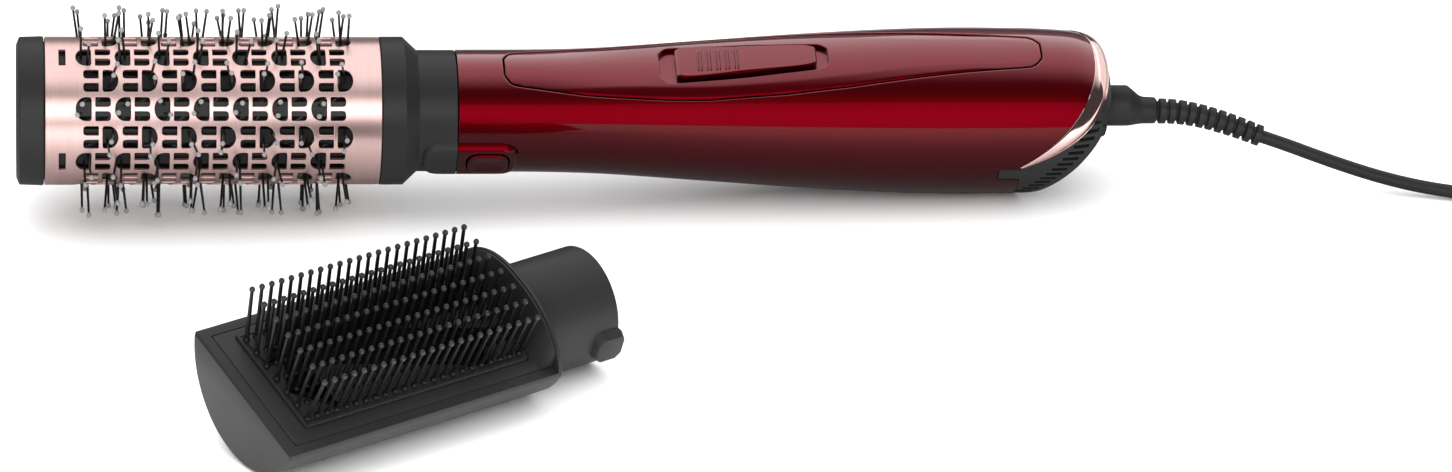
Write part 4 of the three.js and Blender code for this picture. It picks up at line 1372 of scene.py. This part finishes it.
def make_paddle_back():
    """The curved shell with its arched end wall, the face's pocket and the airway from the neck."""
    shell = paddle_solid()
    arch = [arch_ring(PADDLE_LENGTH - 1.5, 0), arch_ring(PADDLE_LENGTH - 0.6, 0),
            arch_ring(PADDLE_LENGTH - 0.2, 0.2), arch_ring(PADDLE_LENGTH, 0.6)]
    carve(shell, loft("arch_wall", arch, PADDLE), "UNION")
    pocket = rounded(rectangle(4, -26, 102.5, 26), 0.4, True)
    carve(shell, loft("face_pocket", upright(pocket, -6.5, 30), PADDLE))
    carve(shell, turned("airway", rod_profile(100, 120, 16.3), 64, PADDLE, axis_height=NECK_AXIS))
    return smooth(shell, 35)


def pad_loop(margin):
    """The pad's outline, moved in by a margin."""
    low, high = PAD_CENTRE - PAD_HALF_WIDTH, PAD_CENTRE + PAD_HALF_WIDTH
    outline = rectangle(11 + margin, low + margin, 97 - margin, high - margin)
    return resampled(rounded(outline, 1.0, True), 1.2, True)


def make_paddle_face():
    """The face plate with a rounded edge, the pad's opening and the ramp up to the arch."""
    half = 25.8
    loop = resampled(rounded(rectangle(4.25, -half, 102.3, half), 0.5, True), 1.5, True)
    levels = [(0, -2.6), (0, -0.35), (-0.12, -0.1), (-0.35, 0.0)]
    plate = loft("paddle_face_plate", following_stack(loop, flat, levels), PADDLE)
    rings = []
    for y in np.linspace(-half + 0.1, half - 0.1, 73):
        height = min(float(arch_height(y)) - 0.35, 14.9)
        t = np.linspace(0, 1, 15)
        run = 97.0 + 4.6 * t**0.8
        rise = height * t**1.15
        ring = [(x, y, z) for x, z in zip(run, rise)] + [(102.3, y, height), (102.3, y, -1), (97.0, y, -1)]
        rings.append(ring)
    carve(plate, loft("arch_ramp", rings, PADDLE), "UNION")
    levels = [(0, -9), (0, -0.3), (0.1, -0.08), (0.3, 0), (0.3, 30)]
    carve(plate, loft("pad_opening", following_stack(pad_loop(0), flat, levels), PADDLE))
    return smooth(plate, 35)


def make_paddle_pad():
    """The rubbery pad that holds the pins, slightly crowned, with a raised border."""
    levels = [
        (0, -6), (0, 0.5), (-0.15, 0.75), (-0.5, 0.85), (-1.0, 0.8), (-1.2, 0.45), (-2, 0.4), (-5, 0.7),
        (-10, 1.0), (-15, 1.1),
    ]
    return smooth(loft("pin_pad", following_stack(pad_loop(0.2), flat, levels), PADDLE), 35)


PIN_ROWS = 7
PINS_PER_ROW = 23
PIN_START = 13.5
PIN_SPAN = 81
SOCKET_RADII = ((0.0, 1.25), (0.5, 1.15), (1.1, 0.8))


def make_pin_row(row):
    """A row of straight ball-tipped pins with their sockets, splayed more the further out the row is."""
    middle = (PIN_ROWS - 1) / 2
    spread = (row - middle) / middle
    splay = spread * PIN_SPLAY
    shafts = []
    balls = []
    for i in range(PINS_PER_ROW):
        x = PIN_START + i * PIN_SPAN / (PINS_PER_ROW - 1)
        foot = np.array([x, PAD_CENTRE + spread * PIN_ROW_SPREAD, 0.9])
        tip = foot + np.array([0, math.sin(splay), math.cos(splay)]) * PADDLE_PIN_REACH
        shafts.append(pin_rings(foot, tip, 0.76, 8))
        shafts.append([foot + (0, 0, height) + pin_circle(radius) for height, radius in SOCKET_RADII])
        balls.append(ball_rings(tip, tip - foot, 1.0))
    return two_tone(f"paddle_pins_{row + 1}", shafts, balls, PAD_TIP, PADDLE)


def pin_circle(radius, sides=8):
    angles = full_turn(sides)
    return np.column_stack([np.cos(angles), np.sin(angles), np.zeros(sides)]) * radius


def make_neck():
    """The paddle's neck with its latch lug and a shallow step near the arch."""
    outline = rounded([
        (104.25, 17.9), (104.25, 18.9), (105.2, 18.9), (105.4, 19.2), (133.2, 19.3), (NECK_END, 18.9),
        (NECK_END, 17.9)], 0.35, True, 4)
    neck = turned("neck_tube", outline, 128, PADDLE, True, NECK_AXIS)
    lug = rounded([(124.6, -2.4), (127, -5.2), (133, -5.2), (135, -3), (135, 3), (133, 5.2), (127, 5.2),
                   (124.6, 2.4)], 0.8, True)
    levels = [(0.9, 18.5), (0.5, 19.6), (0.2, 20.6), (0, 21.2), (-0.3, 21.65), (-0.8, 21.8)]
    rings = turned_about(following_stack(resampled(lug, 0.7, True), flat, levels), math.pi / 2)
    carve(neck, loft("lug", rings + (0, 0, NECK_AXIS), PADDLE), "UNION")
    return smooth(neck, 35)


# ---------------------------------------------------------------- assembly
install(make_sleeve(), BRUSHED, "brush_head", "rose_gold_sleeve", "barrel_sleeve")
install(make_end_cap(), BLACK, "brush_head", "black_plastic", "end_cap")
install(make_collar(), BLACK, "brush_head", "black_plastic", "head_collar")
install(make_core(), CORE, "brush_head", "black_plastic", "bristle_core")
chance = random.Random(7)
for row in range(ROW_COUNT):
    strip = make_bristle_strip(row, chance)
    install(strip, None, "brush_head", "bristle_nylon", f"bristle_strip_{row + 1}")

install(make_upper_shell(), LACQUER, "handle", "red_lacquer", "upper_shell")
install(make_lower_shell(), LACQUER, "handle", "red_lacquer", "lower_shell")
install(make_panel(), LACQUER, "handle", "red_lacquer", "switch_panel")
install(make_switch(), LACQUER, "switch", "red_lacquer", "slide_switch")
install(make_button(), LACQUER, "release", "red_lacquer", "release_button")
install(make_trim(), POLISHED, "handle", "rose_gold_trim", "trim_ring")
install(make_rear_cap(), BLACK, "rear_cover", "black_plastic", "rear_cap")
collar, boot = make_cord_exit()
install(collar, RUBBER, "cord_set", "cord_rubber", "swivel_collar")
install(boot, RUBBER, "cord_set", "cord_rubber", "cord_boot")

install(make_paddle_back(), DARK_GREY, "paddle_head", "grey_plastic", "paddle_back")
install(make_paddle_face(), DARK_GREY, "paddle_head", "grey_plastic", "paddle_face")
install(make_paddle_pad(), BLACK, "paddle_head", "black_plastic", "paddle_pad")
install(make_neck(), DARK_GREY, "paddle_head", "grey_plastic", "paddle_neck")
for row in range(PIN_ROWS):
    install(make_pin_row(row), None, "paddle_head", "bristle_nylon", f"paddle_pin_row_{row + 1}")

HIDDEN_FINISHES = {
    "dust_filter": STEEL, "nozzle_tube": BLACK, "heat_shield": MICA, "heater_frame": MICA,
    "heater_coil": STEEL, "thermostat": STEEL, "circuit_board": BOARD, "switch_block": BLACK, "motor": STEEL,
    "motor_mount": BLACK, "fan": BLACK, "fan_duct": BLACK, "swivel_socket": BLACK,
}
for name, finish in HIDDEN_FINISHES.items():
    nodes[name].data.materials.clear()
    nodes[name].data.materials.append(finish)


# ---------------------------------------------------------------- floor and light
FLOOR_SIZE = 14
FLOOR_TONE = 0.95
# painted shade on the floor, seen only in reflections and bounces: where it is full, where it has faded out,
# and its darkest tone
PAINTED_SHADE_NEAR = 0.08
PAINTED_SHADE_FAR = -0.12
PAINTED_SHADE_TONE = 0.3
WORLD_LEVEL = 0.06


def make_floor():
    """A pale floor whose colour, for glossy and diffuse bounce rays only, is painted darker from just in
    front of the object backwards: painted shade that stands in for the floor's shadow in reflections.
    """
    bpy.ops.mesh.primitive_plane_add(size=FLOOR_SIZE, location=(0, 0, cad_box[0].z))
    floor = bpy.context.object
    floor.name = "floor"
    material, tree, shader = new_material("pale_floor_painted_shade")
    place = add_node(tree, "ShaderNodeTexCoord")
    split = add_node(tree, "ShaderNodeSeparateXYZ")
    # painted shade: the floor's colour goes from pale to dark along y, for bounce rays only
    painted_shade = add_node(
        tree, "ShaderNodeMapRange", interpolation_type="SMOOTHSTEP",
        **map_range(PAINTED_SHADE_NEAR, PAINTED_SHADE_FAR, PAINTED_SHADE_TONE, 1.0),
    )
    path = add_node(tree, "ShaderNodeLightPath")
    bounced = add_node(tree, "ShaderNodeMath", operation="ADD")
    shade = add_node(tree, "ShaderNodeMix", data_type="FLOAT")
    shade.inputs["A"].default_value = FLOOR_TONE
    tree.links.new(place.outputs["Object"], split.inputs["Vector"])
    tree.links.new(split.outputs["Y"], painted_shade.inputs["Value"])
    tree.links.new(path.outputs["Is Glossy Ray"], bounced.inputs[0])
    tree.links.new(path.outputs["Is Diffuse Ray"], bounced.inputs[1])
    tree.links.new(bounced.outputs["Value"], shade.inputs["Factor"])
    tree.links.new(painted_shade.outputs["Result"], shade.inputs["B"])
    tree.links.new(shade.outputs["Result"], shader.inputs["Base Color"])
    shader.inputs["Roughness"].default_value = 0.6
    floor.data.materials.append(material)


def soft_light(name, size, place, facing, radiance, lit, colour=(1, 1, 1)):
    """A soft rectangular light that reaches only some of the objects."""
    data = bpy.data.lights.new(name, "AREA")
    data.shape = "RECTANGLE"
    data.size, data.size_y = size
    data.energy = radiance * math.pi * size[0] * size[1]
    data.color = colour
    light = bpy.data.objects.new(name, data)
    bpy.context.scene.collection.objects.link(light)
    turn = Vector(facing).to_track_quat("-Z", "Y").to_matrix().to_4x4()
    light.matrix_world = Matrix.Translation(anchor + Vector(place)) @ turn
    light.light_linking.receiver_collection = lit
    return light


def fade_out(light, share):
    """Dims a light softly towards its near edge over a share of its depth."""
    light.data.use_nodes = True
    tree = light.data.node_tree
    geometry = add_node(tree, "ShaderNodeNewGeometry")
    split = add_node(tree, "ShaderNodeSeparateXYZ")
    ramp = add_node(tree, "ShaderNodeMapRange", interpolation_type="SMOOTHSTEP")
    ramp.inputs["From Max"].default_value = share
    tree.links.new(geometry.outputs["Parametric"], split.inputs["Vector"])
    tree.links.new(split.outputs["Y"], ramp.inputs["Value"])
    tree.links.new(ramp.outputs["Result"], tree.nodes["Emission"].inputs["Strength"])


def collection_of(name, pieces):
    lit = bpy.data.collections.new(name)
    for piece in pieces:
        lit.objects.link(piece)
    return lit


OVERHEAD_SIZE = (5.0, 4.4)
OVERHEAD_PLACE = (0.1, 1.31, 1.6)
OVERHEAD_FADE = 0.25
FLOOR_LIGHT_PLACE = (0.1, 0.1, 1.6)
BARREL_LIGHT_PLACE = (0.1, 0.75, 1.6)
FRONT_SIZE = (3.2, 1.0)
FRONT_ELEVATION = math.radians(26)
LOW_FRONT_SIZE = (3.2, 1.25)
LOW_FRONT_ELEVATION = math.radians(18)
FRONT_DISTANCE = 2.0
SIDE_SIZE = (2.4, 1.6)
SIDE_PLACE = (1.8, 1.1, 0.75)
SIDE_LEVEL = 1.0
LACQUERED = (
    "upper_handle_shell", "lower_handle_shell", "switch_panel_insert", "slide_switch_cap", "press_button",
)
# each group of objects: the radiance of its overhead light, and the radiance and colour of its front light
LIGHT_LEVELS = {
    "lacquered": (3.6, 4.6, (1.0, 0.004, 0.1)),
    "trim": (1.0, 0.0, (1.0, 1.0, 1.0)),
    "barrel": (1.15, 2.2, (1.0, 1.0, 1.0)),
    "others": (1.15, 2.5, (1.0, 1.0, 1.0)),
    "floor": (2.2, 3.0, (1.0, 1.0, 1.0)),
}


def light_group(piece):
    if piece.name in LACQUERED:
        return "lacquered"
    special = {"polished_trim_band": "trim", "perforated_sleeve": "barrel", "floor": "floor"}
    return special.get(piece.name, "others")


def make_lights():
    """A dim world, an overhead light for each group of objects, a front light for each group that has a
    front level, and a side light for the trim.
    """
    world = bpy.data.worlds.new("studio")
    world.use_nodes = True
    background = world.node_tree.nodes["Background"]
    background.inputs["Color"].default_value = (1, 1, 1, 1)
    background.inputs["Strength"].default_value = WORLD_LEVEL
    bpy.context.scene.world = world
    shown = [piece for piece in bpy.context.scene.objects if piece.type in ("MESH", "CURVE")]
    for group, (overhead, front, colour) in LIGHT_LEVELS.items():
        lit = collection_of(group, [piece for piece in shown if light_group(piece) == group])
        place = {"floor": FLOOR_LIGHT_PLACE, "barrel": BARREL_LIGHT_PLACE}.get(group, OVERHEAD_PLACE)
        above = soft_light(f"overhead_{group}", OVERHEAD_SIZE, place, (0, 0, -1), overhead, lit)
        if group != "floor":
            fade_out(above, OVERHEAD_FADE)
        lacquered = group == "lacquered"
        elevation = LOW_FRONT_ELEVATION if lacquered else FRONT_ELEVATION
        size = LOW_FRONT_SIZE if lacquered else FRONT_SIZE
        forward = Vector((0, -math.cos(elevation), math.sin(elevation)))
        if front:
            soft_light(f"front_{group}", size, forward * FRONT_DISTANCE, -forward, front, lit, colour)
        if group == "trim":
            soft_light("side_trim", SIDE_SIZE, SIDE_PLACE, -Vector(SIDE_PLACE), SIDE_LEVEL, lit)


make_floor()
make_lights()
bpy.context.scene.view_settings.view_transform = "Standard"

bpy.context.view_layer.update()
